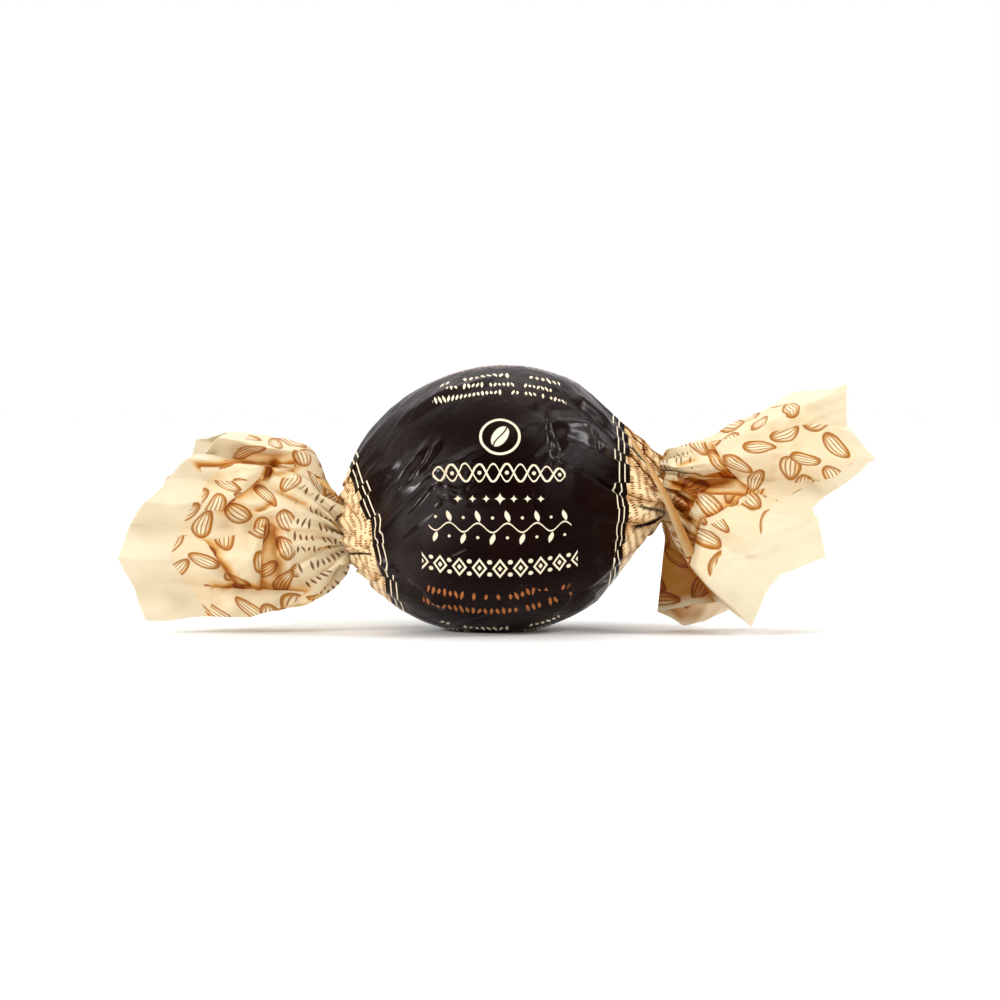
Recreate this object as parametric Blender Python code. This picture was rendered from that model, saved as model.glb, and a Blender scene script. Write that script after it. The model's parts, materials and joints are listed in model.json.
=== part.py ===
"""A round chocolate truffle closed in twist-wrap film, as one solid.

The candy lies on a table with its twist axis along X, +Z up, and its front towards -Y. The origin is
the middle of the small flat spot that the ball rests on.

The surface is one closed grid of points. A column runs along the candy, and columns go round it from
the top towards the front. A row is one ring round the twist axis: the rows start at the bottom of the
left tail's hollow, go out to the left cut edge, turn back over the outside to the left neck, cross the
ball and do the same on the right.
"""

from dataclasses import dataclass

import bpy
import numpy as np

MM = 0.001

# The ball, which rests on a flat spot this deep
BALL_RADIUS = 18.5 * MM
REST_DEPTH = 0.5 * MM
BALL_CRUMPLE = 0.10 * MM

# The grid
FOLDS = 20
COLUMNS_PER_FOLD = 3
COLUMNS = FOLDS * COLUMNS_PER_FOLD
BALL_ROWS = 25
CONE_ROWS = 5

# The film of the tails, drawn as a wall thick enough to hold as a solid
WALL = 0.40 * MM
PLEAT_DEPTH = 0.15  # of the neck's radius, in and out
TWISTED_FOLDS = 2  # how many folds each end is turned by against the ball
TAIL_CRUMPLE = 0.50 * MM
HOLLOW_FLOOR = 2.0 * MM  # from the neck to the bottom of a tail's hollow
HOLLOW_SHARE = 0.2  # of a fold's length, where the tail's walls start to part

DARK_FILM = (0.022, 0.011, 0.010, 1.0)
CREAM_FILM = (0.93, 0.82, 0.60, 1.0)
FILM_ROUGHNESS = 0.35


@dataclass(frozen=True)
class Fold:
    """One crease of a tail, from the neck to the cut edge, in millimetres from the neck's middle."""

    reach: float  # along X, away from the ball
    rise: float  # up
    front: float  # towards -Y
    flare: float = 0.0  # 1 spreads at the neck and then runs out, 0 is straight
    bow: float = 0.0  # how far its middle stands out from the twist axis


@dataclass(frozen=True)
class Tail:
    """One end of the film: the ball's shoulder, the pleated neck and the folds that fan out from it."""

    side: int  # -1 left, 1 right
    shoulder: float  # half length of the ellipse that the film follows on this side of the ball
    leave: float  # degrees round that ellipse, from the ball's middle to where the film leaves it
    neck_reach: float  # from the ball's middle, along X
    neck_rise: float
    neck_radius: float
    first_fold: int  # where the first fold leaves the neck, in steps round it from the top
    knee: float  # how hard a flared fold turns, from 0
    folds: tuple[Fold, ...]


LEFT_TAIL = Tail(
    side=-1,
    shoulder=21.7,
    leave=62,
    neck_reach=21.7,
    neck_rise=-4.5,
    neck_radius=3.0,
    first_fold=0,
    knee=2.6,
    folds=(
        Fold(16.0, 14.2, -2.6, flare=0.80),
        Fold(17.0, 12.7, 2.6, flare=0.76),
        Fold(19.0, 10.8, 0.8, flare=0.68),
        Fold(20.6, 10.2, 5.4, flare=0.60),
        Fold(23.4, 7.4, 5.0, flare=0.60),
        Fold(26.4, 4.8, 7.8, flare=0.60),
        Fold(28.8, 1.2, 5.4, flare=0.60),
        Fold(30.2, -3.3, 7.6, flare=0.60),
        Fold(28.3, -7.6, 4.4, flare=0.70),
        Fold(26.6, -12.1, 6.0, flare=0.80),
        Fold(21.0, -10.0, 1.4, flare=0.85),
        Fold(18.0, -10.9, -3.4, flare=0.80),
        Fold(24.0, -6.8, -3.4, flare=0.70),
        Fold(26.0, -5.4, -7.8, flare=0.60),
        Fold(26.5, -2.0, -4.4, flare=0.60),
        Fold(28.0, 1.0, -8.4, flare=0.55),
        Fold(25.5, 4.0, -4.6, flare=0.60),
        Fold(25.2, 7.2, -8.0, flare=0.60),
        Fold(21.5, 8.8, -4.4, flare=0.60),
        Fold(20.8, 12.3, -6.4, flare=0.72),
    ),
)

RIGHT_TAIL = Tail(
    side=1,
    shoulder=20.7,
    leave=36,
    neck_reach=22.4,
    neck_rise=1.9,
    neck_radius=3.7,
    first_fold=-1,
    knee=1.2,
    folds=(
        Fold(25.5, 14.1, -1.5, flare=-0.10),
        Fold(25.4, 7.8, 0.4, flare=0.00),
        Fold(25.6, 8.0, 4.6, flare=0.10, bow=2.2),
        Fold(28.8, 3.9, 5.0, flare=0.10, bow=1.2),
        Fold(24.2, 0.4, 2.4, flare=0.20),
        Fold(20.2, -2.6, 4.4, flare=0.20),
        Fold(20.8, -4.4, 7.8, flare=0.20),
        Fold(21.8, -9.4, 9.4, flare=0.20),
        Fold(17.6, -11.8, 9.4, flare=0.20),
        Fold(14.2, -15.0, 10.4, flare=0.20),
        Fold(11.5, -19.2, 9.4, flare=0.30),
        Fold(7.6, -14.0, 2.8, flare=0.30),
        Fold(-0.8, -17.2, 0.2, flare=0.30),
        Fold(3.0, -19.4, -1.8, flare=0.60),
        Fold(9.4, -17.4, -4.8, flare=0.60),
        Fold(14.0, -11.5, -6.6, flare=0.35),
        Fold(20.0, -4.4, -4.6, flare=0.30),
        Fold(21.5, 1.0, -8.6, flare=0.30),
        Fold(21.0, 6.0, -4.8, flare=0.20),
        Fold(19.3, 13.1, -6.0, flare=0.05),
    ),
)

BALL_MIDDLE = np.array((0.0, 0.0, BALL_RADIUS - REST_DEPTH))
UP = np.array((0.0, 0.0, 1.0))
FRONT = np.array((0.0, -1.0, 0.0))


def remove_everything():
    """Empty the file."""
    for item in list(bpy.data.objects):
        bpy.data.objects.remove(item)


def unit(vectors):
    """Vectors scaled to length one."""
    return vectors / np.linalg.norm(vectors, axis=-1, keepdims=True)


def neck_middle(tail):
    """The middle of a tail's neck."""
    return BALL_MIDDLE + MM * np.array((tail.side * tail.neck_reach, 0.0, tail.neck_rise))


MIDDLE_AXIS = unit(neck_middle(RIGHT_TAIL) - neck_middle(LEFT_TAIL))


def ring(middle, axis, radii, turns):
    """Points round an axis: turn 0 is at the top and a quarter turn at the front."""
    top = unit(UP - axis * axis[2])
    spokes = np.cos(turns)[:, None] * top + np.sin(turns)[:, None] * FRONT
    return middle + radii[:, None] * spokes


def pleats():
    """The neck's radius at each fold, over its mean: ridge and valley by turns."""
    return 1 + PLEAT_DEPTH * np.where(np.arange(FOLDS) % 2, -1.0, 1.0)


def between_folds(at_folds):
    """Values given at the folds, taken in a straight line from each fold to the next."""
    share = (np.arange(COLUMNS_PER_FOLD) / COLUMNS_PER_FOLD)[:, None]
    here = at_folds[:, :, None, :]
    there = np.roll(at_folds, -1, axis=1)[:, :, None, :]
    return (here * (1 - share) + there * share).reshape(len(at_folds), COLUMNS, -1)


def crumple(points, offset=0.0):
    """Crumpled film, about -1 to 1: a sum of triangle waves in several directions, with straight creases."""
    waves = 5
    longest, step = 15.0 * MM, 2.0 * MM
    golden = (np.sqrt(5) - 1) / 2
    total = np.zeros(points.shape[:-1])
    for i in range(waves):
        turn = 2 * np.pi * golden * i
        lift = 1 - 2 * (i + 0.5) / waves
        across = np.sqrt(1 - lift * lift)
        direction = np.array((across * np.cos(turn), across * np.sin(turn), lift))
        phase = points @ direction / (longest - step * i) + golden * i + offset
        total += np.abs(2 * (phase - np.floor(phase)) - 1) - 0.5
    return total


def outward(grid):
    """Directions out of a grid whose rows go from left to right."""
    along = np.gradient(grid, axis=0)
    around = np.roll(grid, -1, axis=1) - np.roll(grid, 1, axis=1)
    return unit(np.cross(around, along))


def tail_sheet(tail, shares):
    """The outside of a tail at shares 0 to 1 of each fold's length, without its crumples.

    A fold is a curve pulled towards one control point: with no flare that is the middle of the
    straight line, with a flare of 1 it lies out from the neck, level with the cut edge.
    """
    middle = neck_middle(tail)
    axis = unit(middle - BALL_MIDDLE) * tail.side
    turns = 2 * np.pi * (np.arange(FOLDS) + tail.first_fold) / FOLDS
    radii = tail.neck_radius * MM * np.roll(pleats(), tail.first_fold)
    start = ring(middle, axis, radii, turns)
    end = middle + MM * np.array([(tail.side * f.reach, -f.front, f.rise) for f in tail.folds])
    flare = np.array([f.flare for f in tail.folds])
    control = start + (end - start) * 0.5 * np.stack((1 - flare, 1 + flare, 1 + flare), axis=-1)
    control += 2 * MM * np.array([f.bow for f in tail.folds])[:, None] * unit((end - middle) * (0, 1, 1))
    s = shares[:, None, None]
    pull = 2 * s * (1 - s) * tail.knee
    curves = ((1 - s) ** 2 * start + pull * control + s**2 * end) / ((1 - s) ** 2 + pull + s**2)
    return between_folds(curves)


def tail_grid(tail):
    """A tail's rows from just past the neck, over the cut edge, to where its walls part inside.

    The inside lies a wall's thickness in from the outside, along directions that are smoothed over
    the sharp creases. The crumples push both together.
    """
    shares = np.array((0.0, 0.06, 0.13, 0.22, 0.33, 0.45, 0.58, 0.72, 0.86, 1.0))
    outside = tail_sheet(tail, shares)
    inwards = -tail.side * outward(outside)
    inwards = unit(np.roll(inwards, 1, axis=1) + inwards + np.roll(inwards, -1, axis=1))
    walls_part = np.count_nonzero(shares < HOLLOW_SHARE)
    rows = np.concatenate((outside[1:], (outside + WALL * inwards)[walls_part:][::-1]))
    row_shares = np.concatenate((shares[1:], shares[walls_part:][::-1]))
    push = TAIL_CRUMPLE * np.minimum(1, 2.2 * row_shares)[:, None, None]
    return rows + push * (crumple(rows)[..., None] * FRONT + crumple(rows, 0.5)[..., None] * UP)


def hollow_floor(tail):
    """The point at the bottom of a tail's hollow, on the twist axis."""
    middle = neck_middle(tail)
    return middle + HOLLOW_FLOOR * unit(middle - BALL_MIDDLE)


def ball_profile(tail):
    """Heights along the axis and radii of the rows from next to the ball's middle row to the neck.

    The film follows half an ellipse round the ball up to the angle where it leaves it, and then
    runs straight to the neck.
    """
    leave = np.radians(tail.leave)
    angles = np.linspace(0, leave, BALL_ROWS // 2 + 1)[1:]
    shape = np.stack((tail.shoulder * MM * np.sin(angles), BALL_RADIUS * np.cos(angles)), axis=-1)
    neck = np.array((np.linalg.norm(neck_middle(tail) - BALL_MIDDLE), tail.neck_radius * MM))
    shares = np.linspace(0, 1, CONE_ROWS + 1)[1:, None]
    return np.concatenate((shape, (1 - shares) * shape[-1] + shares * neck))


def ball_side(tail):
    """The rows from next to the ball's middle row to a neck.

    The necks aren't quite opposite each other, so the rows' axis turns to the neck's own on the way.
    Past the ball the rows also turn from round to pleated and are twisted.
    """
    profile = ball_profile(tail)
    neck_axis = unit(neck_middle(tail) - BALL_MIDDLE) * tail.side
    turns = 2 * np.pi * np.arange(COLUMNS) / COLUMNS
    twist = tail.side * 2 * np.pi * TWISTED_FOLDS / FOLDS
    gathered = np.maximum(0, np.arange(1 - len(profile), 1) + CONE_ROWS) / CONE_ROWS
    rows = []
    for (height, radius), gather in zip(profile, gathered):
        share = min(1, height / profile[-CONE_ROWS - 1, 0]) ** 2
        axis = unit((1 - share) * MIDDLE_AXIS + share * neck_axis)
        radii = radius * (1 - gather + gather * between_folds(pleats()[None, :, None])[0, :, 0])
        rows.append(ring(BALL_MIDDLE + tail.side * height * axis, axis, radii, turns + gather**2 * twist))
    return np.array(rows)


def ball_grid():
    """The rows over the ball from the left neck to the right neck, flat where they meet the table."""
    turns = 2 * np.pi * np.arange(COLUMNS) / COLUMNS
    middle_row = ring(BALL_MIDDLE, MIDDLE_AXIS, np.full(COLUMNS, BALL_RADIUS), turns)
    grid = np.concatenate((ball_side(LEFT_TAIL)[::-1], middle_row[None], ball_side(RIGHT_TAIL)))
    ramp = np.sin(np.pi * np.linspace(0, 1, len(grid)))[:, None]
    grid += (BALL_CRUMPLE * ramp * crumple(grid))[..., None] * outward(grid)
    grid[..., 2] = np.maximum(grid[..., 2], 0.0)
    return grid


def closed_mesh(name, rows, first_pole, last_pole):
    """A mesh of a grid's rows that closes round each row and at a point past each end."""
    count = len(rows)
    vertices = np.concatenate((rows.reshape(-1, 3), first_pole[None], last_pole[None]))
    row, column = np.meshgrid(np.arange(count - 1), np.arange(COLUMNS), indexing="ij")
    after = (column + 1) % COLUMNS
    a, b = row * COLUMNS + column, row * COLUMNS + after
    c, d = b + COLUMNS, a + COLUMNS
    faces = np.stack((a, b, c, d), axis=-1).reshape(-1, 4).tolist()
    ends = np.arange(COLUMNS)
    following = (ends + 1) % COLUMNS
    last = (count - 1) * COLUMNS
    faces += [(count * COLUMNS, j, i) for i, j in zip(ends.tolist(), following.tolist())]
    faces += [(count * COLUMNS + 1, last + i, last + j) for i, j in zip(ends.tolist(), following.tolist())]
    mesh = bpy.data.meshes.new(name)
    mesh.from_pydata(vertices.tolist(), [], faces)
    mesh.update()
    return mesh


def film(name, colour):
    """A glossy printed film."""
    material = bpy.data.materials.new(name)
    material.use_nodes = True
    shader = material.node_tree.nodes["Principled BSDF"]
    shader.inputs["Base Color"].default_value = colour
    shader.inputs["Roughness"].default_value = FILM_ROUGHNESS
    shader.inputs["Metallic"].default_value = 0.0
    material.diffuse_color = colour
    return material


def wrapped_truffle():
    """The whole candy: the left tail, the ball and the right tail in one closed surface."""
    left, right = (
        np.roll(tail_grid(tail), (tail.first_fold - tail.side * TWISTED_FOLDS) * COLUMNS_PER_FOLD, axis=1)
        for tail in (LEFT_TAIL, RIGHT_TAIL)
    )
    rows = np.concatenate((left[::-1], ball_grid(), right))
    mesh = closed_mesh("wrapped_truffle", rows, hollow_floor(LEFT_TAIL), hollow_floor(RIGHT_TAIL))
    mesh.materials.append(film("cream_film", CREAM_FILM))
    mesh.materials.append(film("dark_film", DARK_FILM))
    first_dark = (len(left) + CONE_ROWS) * COLUMNS
    last_dark = first_dark + (BALL_ROWS - 1) * COLUMNS
    for face in mesh.polygons:
        face.material_index = int(first_dark <= face.index < last_dark)
    mesh.shade_smooth()
    mesh.set_sharp_from_angle(angle=np.radians(25))
    candy = bpy.data.objects.new("wrapped_truffle", mesh)
    bpy.context.collection.objects.link(candy)
    return candy


remove_everything()
wrapped_truffle()
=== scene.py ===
"""A round chocolate truffle closed in twist-wrap film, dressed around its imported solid.

Three sheets of film stand for the solid: the wrap round the ball and one tail at each end, with a
folded strip over the right neck. All sizes are in millimetres until a mesh is written. The twist axis
lies along X, the front is towards -Y and +Z is up.

Each sheet is a grid of points: rows go along the sweet from left to right, and columns go round it,
from the back over the top to the front and on under the bottom.
"""

import json
import logging
from collections.abc import Callable
from dataclasses import dataclass, replace
from enum import Enum

import bpy
import numpy as np
from numpy.typing import NDArray
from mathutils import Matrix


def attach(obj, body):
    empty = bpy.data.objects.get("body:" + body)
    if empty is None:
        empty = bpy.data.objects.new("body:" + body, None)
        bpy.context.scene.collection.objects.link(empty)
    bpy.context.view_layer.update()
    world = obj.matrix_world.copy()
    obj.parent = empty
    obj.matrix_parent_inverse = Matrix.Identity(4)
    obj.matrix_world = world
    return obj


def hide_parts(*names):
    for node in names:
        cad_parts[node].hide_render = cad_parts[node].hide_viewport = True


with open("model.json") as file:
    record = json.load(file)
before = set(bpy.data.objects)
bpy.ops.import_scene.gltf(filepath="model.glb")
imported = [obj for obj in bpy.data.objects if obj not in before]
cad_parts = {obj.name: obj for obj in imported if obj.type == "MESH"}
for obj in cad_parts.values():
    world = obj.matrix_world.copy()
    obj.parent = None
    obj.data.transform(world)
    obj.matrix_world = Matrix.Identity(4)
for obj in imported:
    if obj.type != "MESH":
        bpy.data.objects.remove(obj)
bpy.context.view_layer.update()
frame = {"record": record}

MM = 0.001
NODE = "wrapped_truffle"
UP = np.array((0.0, 0.0, 1.0))
FRONT = np.array((0.0, -1.0, 0.0))
GOLDEN = (np.sqrt(5) - 1) / 2
BALL_HEIGHT = 18.0  # from the resting point up to the ball's middle
SHARP_ANGLE = np.radians(60)

Array = NDArray[np.float64]
Colour = tuple[float, float, float, float]
Row = tuple[float, float, float]  # a line of grains: its middle, half its width, and its height
log = logging.getLogger("truffle")


class Side(Enum):
    """Which end of the sweet a tail is on, as the sign of its X."""

    LEFT = -1
    RIGHT = 1


# ---------------------------------------------------------------------------------------------------
# Shapes on grids
# ---------------------------------------------------------------------------------------------------


def unit(vectors: Array) -> Array:
    """Vectors scaled to length one."""
    return vectors / np.linalg.norm(vectors, axis=-1, keepdims=True)


def triangle(phase: Array) -> Array:
    """A triangle wave: 0.5 at whole phases, falling in a straight line to -0.5 half way between."""
    return np.abs(2 * (phase - np.floor(phase)) - 1) - 0.5


def ramp(values: Array, low: float, high: float) -> Array:
    """0 below low, 1 above high, and a straight line between."""
    return np.clip((values - low) / (high - low), 0.0, 1.0)


def outward(grid: Array) -> Array:
    """Directions out of a grid: the step round it crossed with the step along it.

    Args:
        grid: Points by rows and columns, closed round its columns.

    Returns:
        A unit vector for each point.
    """
    along = np.gradient(grid, axis=0)
    around = np.roll(grid, -1, axis=1) - np.roll(grid, 1, axis=1)
    return unit(np.cross(around, along))


def rounded(grid: Array, times: int) -> Array:
    """A grid with its lengthwise creases eased, by averaging each column with its neighbours.

    Args:
        grid: Values by rows and columns.
        times: How often they are averaged.

    Returns:
        The eased values.
    """
    for _ in range(times):
        grid = 0.5 * grid + 0.25 * (np.roll(grid, 1, axis=1) + np.roll(grid, -1, axis=1))
    return grid


def blurred(grid: Array, times: int) -> Array:
    """A grid averaged with its neighbours both ways, with its first and last rows averaged one way.

    Args:
        grid: Values by rows and columns.
        times: How often they are averaged.

    Returns:
        The eased values.
    """
    grid = grid.copy()
    for _ in range(times):
        grid[1:-1] = 0.5 * grid[1:-1] + 0.25 * (grid[:-2] + grid[2:])
        grid = rounded(grid, 1)
    return grid


def closed(grid: Array) -> Array:
    """A grid with its first column again after its last."""
    return np.concatenate((grid, grid[:, :1]), axis=1)


def doubled(outer: Array, share: float = 1.0) -> Array:
    """Rows for both sides of a film: the outer side's, and a share of them back along the inner side."""
    return np.concatenate((outer, share * outer[::-1]))


def hill(grid: Array, middle: tuple[float, float], spread: tuple[float, float]) -> Array:
    """A bell as seen from the front: e to the power of minus the squares of the offsets over the spreads.

    Args:
        grid: Points.
        middle: The bell's place, across and up.
        spread: Its width, across and up.

    Returns:
        From 0 to 1 for each point.
    """
    across = (grid[..., 0] - middle[0]) / spread[0]
    up = (grid[..., 2] - middle[1]) / spread[1]
    return np.exp(-(across**2 + up**2))


def on_both_faces(heights: Callable[[Array, Array], Array], grid: Array, flip: float = 1.0) -> Array:
    """Heights drawn on the front of the ball, and again on its back.

    Args:
        heights: What works out a height for places across and up.
        grid: The points, from the ball's middle.
        flip: -1 turns the back's drawing upside down as well.

    Returns:
        A height for each point.
    """
    across, up, front = grid[..., 0], grid[..., 2], grid @ FRONT
    return heights(across, up) * ramp(front, 0, 2) + heights(-across, flip * up) * ramp(-front, 0, 2)


def crumple(points: Array, longest: float, shortest: float, waves: int, offset: float = 0.0) -> Array:
    """Crumpled film: triangle waves in several directions, summed, so that its creases are straight.

    Args:
        points: Places in millimetres.
        longest: The first wave's length.
        shortest: The last wave's length.
        waves: How many waves are summed.
        offset: A shift of every wave, for another pattern of the same kind.

    Returns:
        A height for each point, about -1 to 1.
    """
    total = np.zeros(points.shape[:-1])
    for i in range(waves):
        turn = 2 * np.pi * GOLDEN * i
        lift = 1 - 2 * (i + 0.5) / waves
        across = np.sqrt(1 - lift * lift)
        direction = np.array((across * np.cos(turn), across * np.sin(turn), lift))
        length = longest + (shortest - longest) * i / max(1, waves - 1)
        total += triangle(points @ direction / length + GOLDEN * i + offset)
    return total


def facets(points: Array, grain: float, offset: float = 0.0) -> Array:
    """Irregular small facets: a fine crumple read at places that a coarser crumple has shifted."""
    shift = np.stack([crumple(points, 3 * grain, 2 * grain, 4, offset + 0.37 * k) for k in range(3)], axis=-1)
    return crumple(points + 0.5 * grain * shift, grain, 0.45 * grain, 6, offset)


@dataclass(frozen=True)
class Crease:
    """One crease as seen from the front: a ridge, or a valley if its height is negative.

    Its places are (across, up) in millimetres from the middle of the ball or of a neck.
    """

    start: tuple[float, float]
    end: tuple[float, float]
    height: float
    left: float = 2.0  # how far it slopes away on the left of the way from start to end
    right: float = 2.0
    bow: float = 0.0  # how far its middle stands off to the left

    def heights(self, across: Array, up: Array) -> Array:
        """A tent along the crease: full height on its line, nothing past its reach, faded at its ends.

        Args:
            across: Where each point is, to the right.
            up: Where each point is, upwards.

        Returns:
            The height that the crease adds at each point.
        """
        run = np.subtract(self.end, self.start)
        length = np.hypot(*run)
        right, rise = across - self.start[0], up - self.start[1]
        along = (right * run[0] + rise * run[1]) / length**2
        off = (run[0] * rise - run[1] * right) / length - 4 * self.bow * along * (1 - along)
        slope = 1 - np.where(off > 0, off / self.left, -off / self.right)
        fade = np.clip(4 * np.minimum(along, 1 - along), 0.0, 1.0)
        return self.height * np.clip(slope, 0.0, 1.0) * fade


@dataclass(frozen=True)
class Flap:
    """A flat flap as seen from the front, which stands off the rest within straight edges.

    Its corners are (across, up), anticlockwise. Its lift is a plane through three of them.
    """

    corners: tuple[tuple[float, float], ...]
    lifts: tuple[float, float, float]  # at the first three corners
    fades: tuple[float, ...]  # over what width each edge comes up, from each corner to the next
    slip: tuple[float, float] = (0.0, 0.0)  # how far its print is shifted by what its edge hides
    sharp: float = 0.9  # the widest fade of a folded edge
    shade_reach: float = 0.8  # how far the shade beside a folded edge goes
    shade: float = 1.0  # how dark it is

    def heights(self, across: Array, up: Array) -> tuple[Array, Array, Array]:
        """The plane, faded in from every edge by the distance from it.

        Args:
            across: Where each point is, away from the ball.
            up: Where each point is, upwards.

        Returns:
            The height that the flap adds at each point, how far each point is inside its edges, and
            from 0 to 1 how folded the nearest edge is.
        """
        corners = np.array(self.corners)
        plane = np.linalg.solve(np.column_stack((corners[:3], np.ones(3))), self.lifts)
        after = np.roll(corners, -1, axis=0)
        offs = []
        for corner, run in zip(corners, unit(after - corners)):
            offs.append(run[0] * (up - corner[1]) - run[1] * (across - corner[0]))
        inside = np.clip(np.min([off / fade for off, fade in zip(offs, self.fades)], axis=0), 0, 1)
        folded = np.zeros(across.shape)
        for i, fade in enumerate(self.fades):
            if fade <= self.sharp:
                others = np.min([off for k, off in enumerate(offs) if k != i], axis=0)
                folded = np.maximum(folded, np.clip(1 + others, 0, 1) * np.clip(1 - offs[i], 0, 1))
        return (plane[0] * across + plane[1] * up + plane[2]) * inside, np.min(offs, axis=0), folded

    def lifted(self, across: Array, up: Array) -> Array:
        """The height alone."""
        return self.heights(across, up)[0]


@dataclass
class Film:
    """A closed sheet of film as a grid, with what its material reads."""

    name: str
    points: Array  # rows, columns, 3
    first_pole: Array
    last_pole: Array
    maps: dict[str, Array]  # UV maps: rows, columns + 1, 2
    marks: dict[str, Array]  # numbers on the points: rows, columns

    def corners(self) -> tuple[Array, Array]:
        """The row and the column of each corner of each quad, as two arrays of quads by 4.

        Returns:
            The rows and the columns.
        """
        rows, columns = self.points.shape[:2]
        row, column = np.meshgrid(np.arange(rows - 1), np.arange(columns), indexing="ij")
        row = row.reshape(-1, 1) + np.array((0, 0, 1, 1))
        column = column.reshape(-1, 1) + np.array((0, 1, 1, 0))
        return row, column

    def mesh(self) -> bpy.types.Mesh:
        """Quads between the rows and a fan of triangles to the pole at each end.

        Returns:
            The mesh, in metres, smooth but for its sharp edges, with its UV maps and attributes.
        """
        rows, columns = self.points.shape[:2]
        row, column = self.corners()
        quads = row * columns + column % columns
        here = np.arange(columns)
        after = (here + 1) % columns
        last = (rows - 1) * columns
        first_fan = np.stack((np.full(columns, rows * columns), after, here), axis=-1)
        last_fan = np.stack((np.full(columns, rows * columns + 1), last + here, last + after), axis=-1)
        corners = np.concatenate((quads.ravel(), first_fan.ravel(), last_fan.ravel()))
        sizes = np.concatenate((np.full(len(quads), 4), np.full(2 * columns, 3)))
        vertices = np.concatenate((self.points.reshape(-1, 3), self.first_pole[None], self.last_pole[None]))

        mesh = bpy.data.meshes.new(self.name)
        mesh.vertices.add(len(vertices))
        mesh.vertices.foreach_set("co", (vertices * MM).ravel())
        mesh.loops.add(len(corners))
        mesh.loops.foreach_set("vertex_index", corners)
        mesh.polygons.add(len(sizes))
        mesh.polygons.foreach_set("loop_start", np.concatenate(((0,), np.cumsum(sizes)[:-1])))
        mesh.update(calc_edges=True)
        for name, values in self.maps.items():
            ends = [
                np.stack(((values[r, :-1] + values[r, 1:]) / 2, values[r, a], values[r, b]), axis=1)
                for r, a, b in ((0, slice(1, None), slice(None, -1)), (-1, slice(None, -1), slice(1, None)))
            ]
            flat = np.concatenate((values[row, column].reshape(-1, 2), *(end.reshape(-1, 2) for end in ends)))
            mesh.uv_layers.new(name=name).data.foreach_set("uv", flat.astype(np.float32).ravel())
        for name, values in self.marks.items():
            poles = (values[0].mean(), values[-1].mean())
            layer = mesh.attributes.new(name, "FLOAT", "POINT")
            layer.data.foreach_set("value", np.append(values.ravel(), poles).astype(np.float32))
        mesh.shade_smooth()
        mesh.set_sharp_from_angle(angle=SHARP_ANGLE)
        return mesh

    def piece(self, material: bpy.types.Material, slot: str) -> None:
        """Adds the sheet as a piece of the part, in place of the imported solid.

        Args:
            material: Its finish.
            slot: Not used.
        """
        mesh = self.mesh()
        mesh.materials.append(material)
        piece = bpy.data.objects.new(self.name, mesh)
        bpy.context.scene.collection.objects.link(piece)
        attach(piece, "root")
        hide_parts(NODE)
        mesh.calc_loop_triangles()
        log.info("%s: %d triangles, finish %s", self.name, len(mesh.loop_triangles), material.name)


# ---------------------------------------------------------------------------------------------------
# Shader maths
# ---------------------------------------------------------------------------------------------------


class Value:
    """A number in a material. An expression on values adds the Math nodes that work it out."""

    def __init__(self, graph: "Graph", socket: bpy.types.NodeSocket) -> None:
        """Wraps a node's output."""
        self.graph = graph
        self.socket = socket

    def maths(self, operation: str, *operands: "Value | float") -> "Value":
        """One Math node, with this value first.

        Args:
            operation: The node's operation.
            operands: The values of its further sockets.

        Returns:
            What it works out.
        """
        sockets = dict(enumerate((self, *operands)))
        node = self.graph.node("ShaderNodeMath", {"operation": operation}, sockets)
        return Value(self.graph, node.outputs[0])

    def __add__(self, other: "Value | float") -> "Value":
        """self + other."""
        return self.maths("ADD", other)

    __radd__ = __add__

    def __sub__(self, other: "Value | float") -> "Value":
        """self - other."""
        return self.maths("SUBTRACT", other)

    def __rsub__(self, other: float) -> "Value":
        """other - self."""
        return (self * -1.0) + other

    def __mul__(self, other: "Value | float") -> "Value":
        """self * other."""
        return self.maths("MULTIPLY", other)

    __rmul__ = __mul__

    def __truediv__(self, other: "Value | float") -> "Value":
        """self / other."""
        return self.maths("DIVIDE", other)

    def __mod__(self, other: float) -> "Value":
        """What is left over whole steps of other, never negative."""
        return self.maths("FLOORED_MODULO", other)

    def __abs__(self) -> "Value":
        """The value without its sign."""
        return self.maths("ABSOLUTE")

    def __or__(self, other: "Value") -> "Value":
        """The larger value: one mask or the other."""
        return self.maths("MAXIMUM", other)

    def __and__(self, other: "Value") -> "Value":
        """The smaller value: both masks."""
        return self.maths("MINIMUM", other)

    def root(self) -> "Value":
        """The square root."""
        return self.maths("SQRT")

    def out_to(self, other: "Value") -> "Value":
        """The length of the vector that this and another value make."""
        return (self * self + other * other).root()

    def within(self, period: float, shift: float = 0.0) -> "Value":
        """The place from the middle of its period, after a shift given in periods."""
        return ((self / period + shift) % 1.0 - 0.5) * period

    def sine(self) -> "Value":
        """The sine, in radians."""
        return self.maths("SINE")

    def cosine(self) -> "Value":
        """The cosine, in radians."""
        return self.maths("COSINE")

    def floor(self) -> "Value":
        """The whole number below."""
        return self.maths("FLOOR")

    def below(self, edge: "Value | float", soft: float) -> "Value":
        """A mask: 1 where the value is under the edge, 0 above it, with a soft step between."""
        sloped = (edge - self) * (1 / soft) + 0.5
        return sloped.maths("MINIMUM", 1.0).maths("MAXIMUM", 0.0)

    def above(self, edge: "Value | float", soft: float) -> "Value":
        """A mask: 1 where the value is over the edge."""
        return 1 - self.below(edge, soft)

    def near(self, middle: "Value | float", half_width: "Value | float", soft: float) -> "Value":
        """A mask: 1 where the value is within half a width of the middle."""
        return abs(self - middle).below(half_width, soft)


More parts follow.
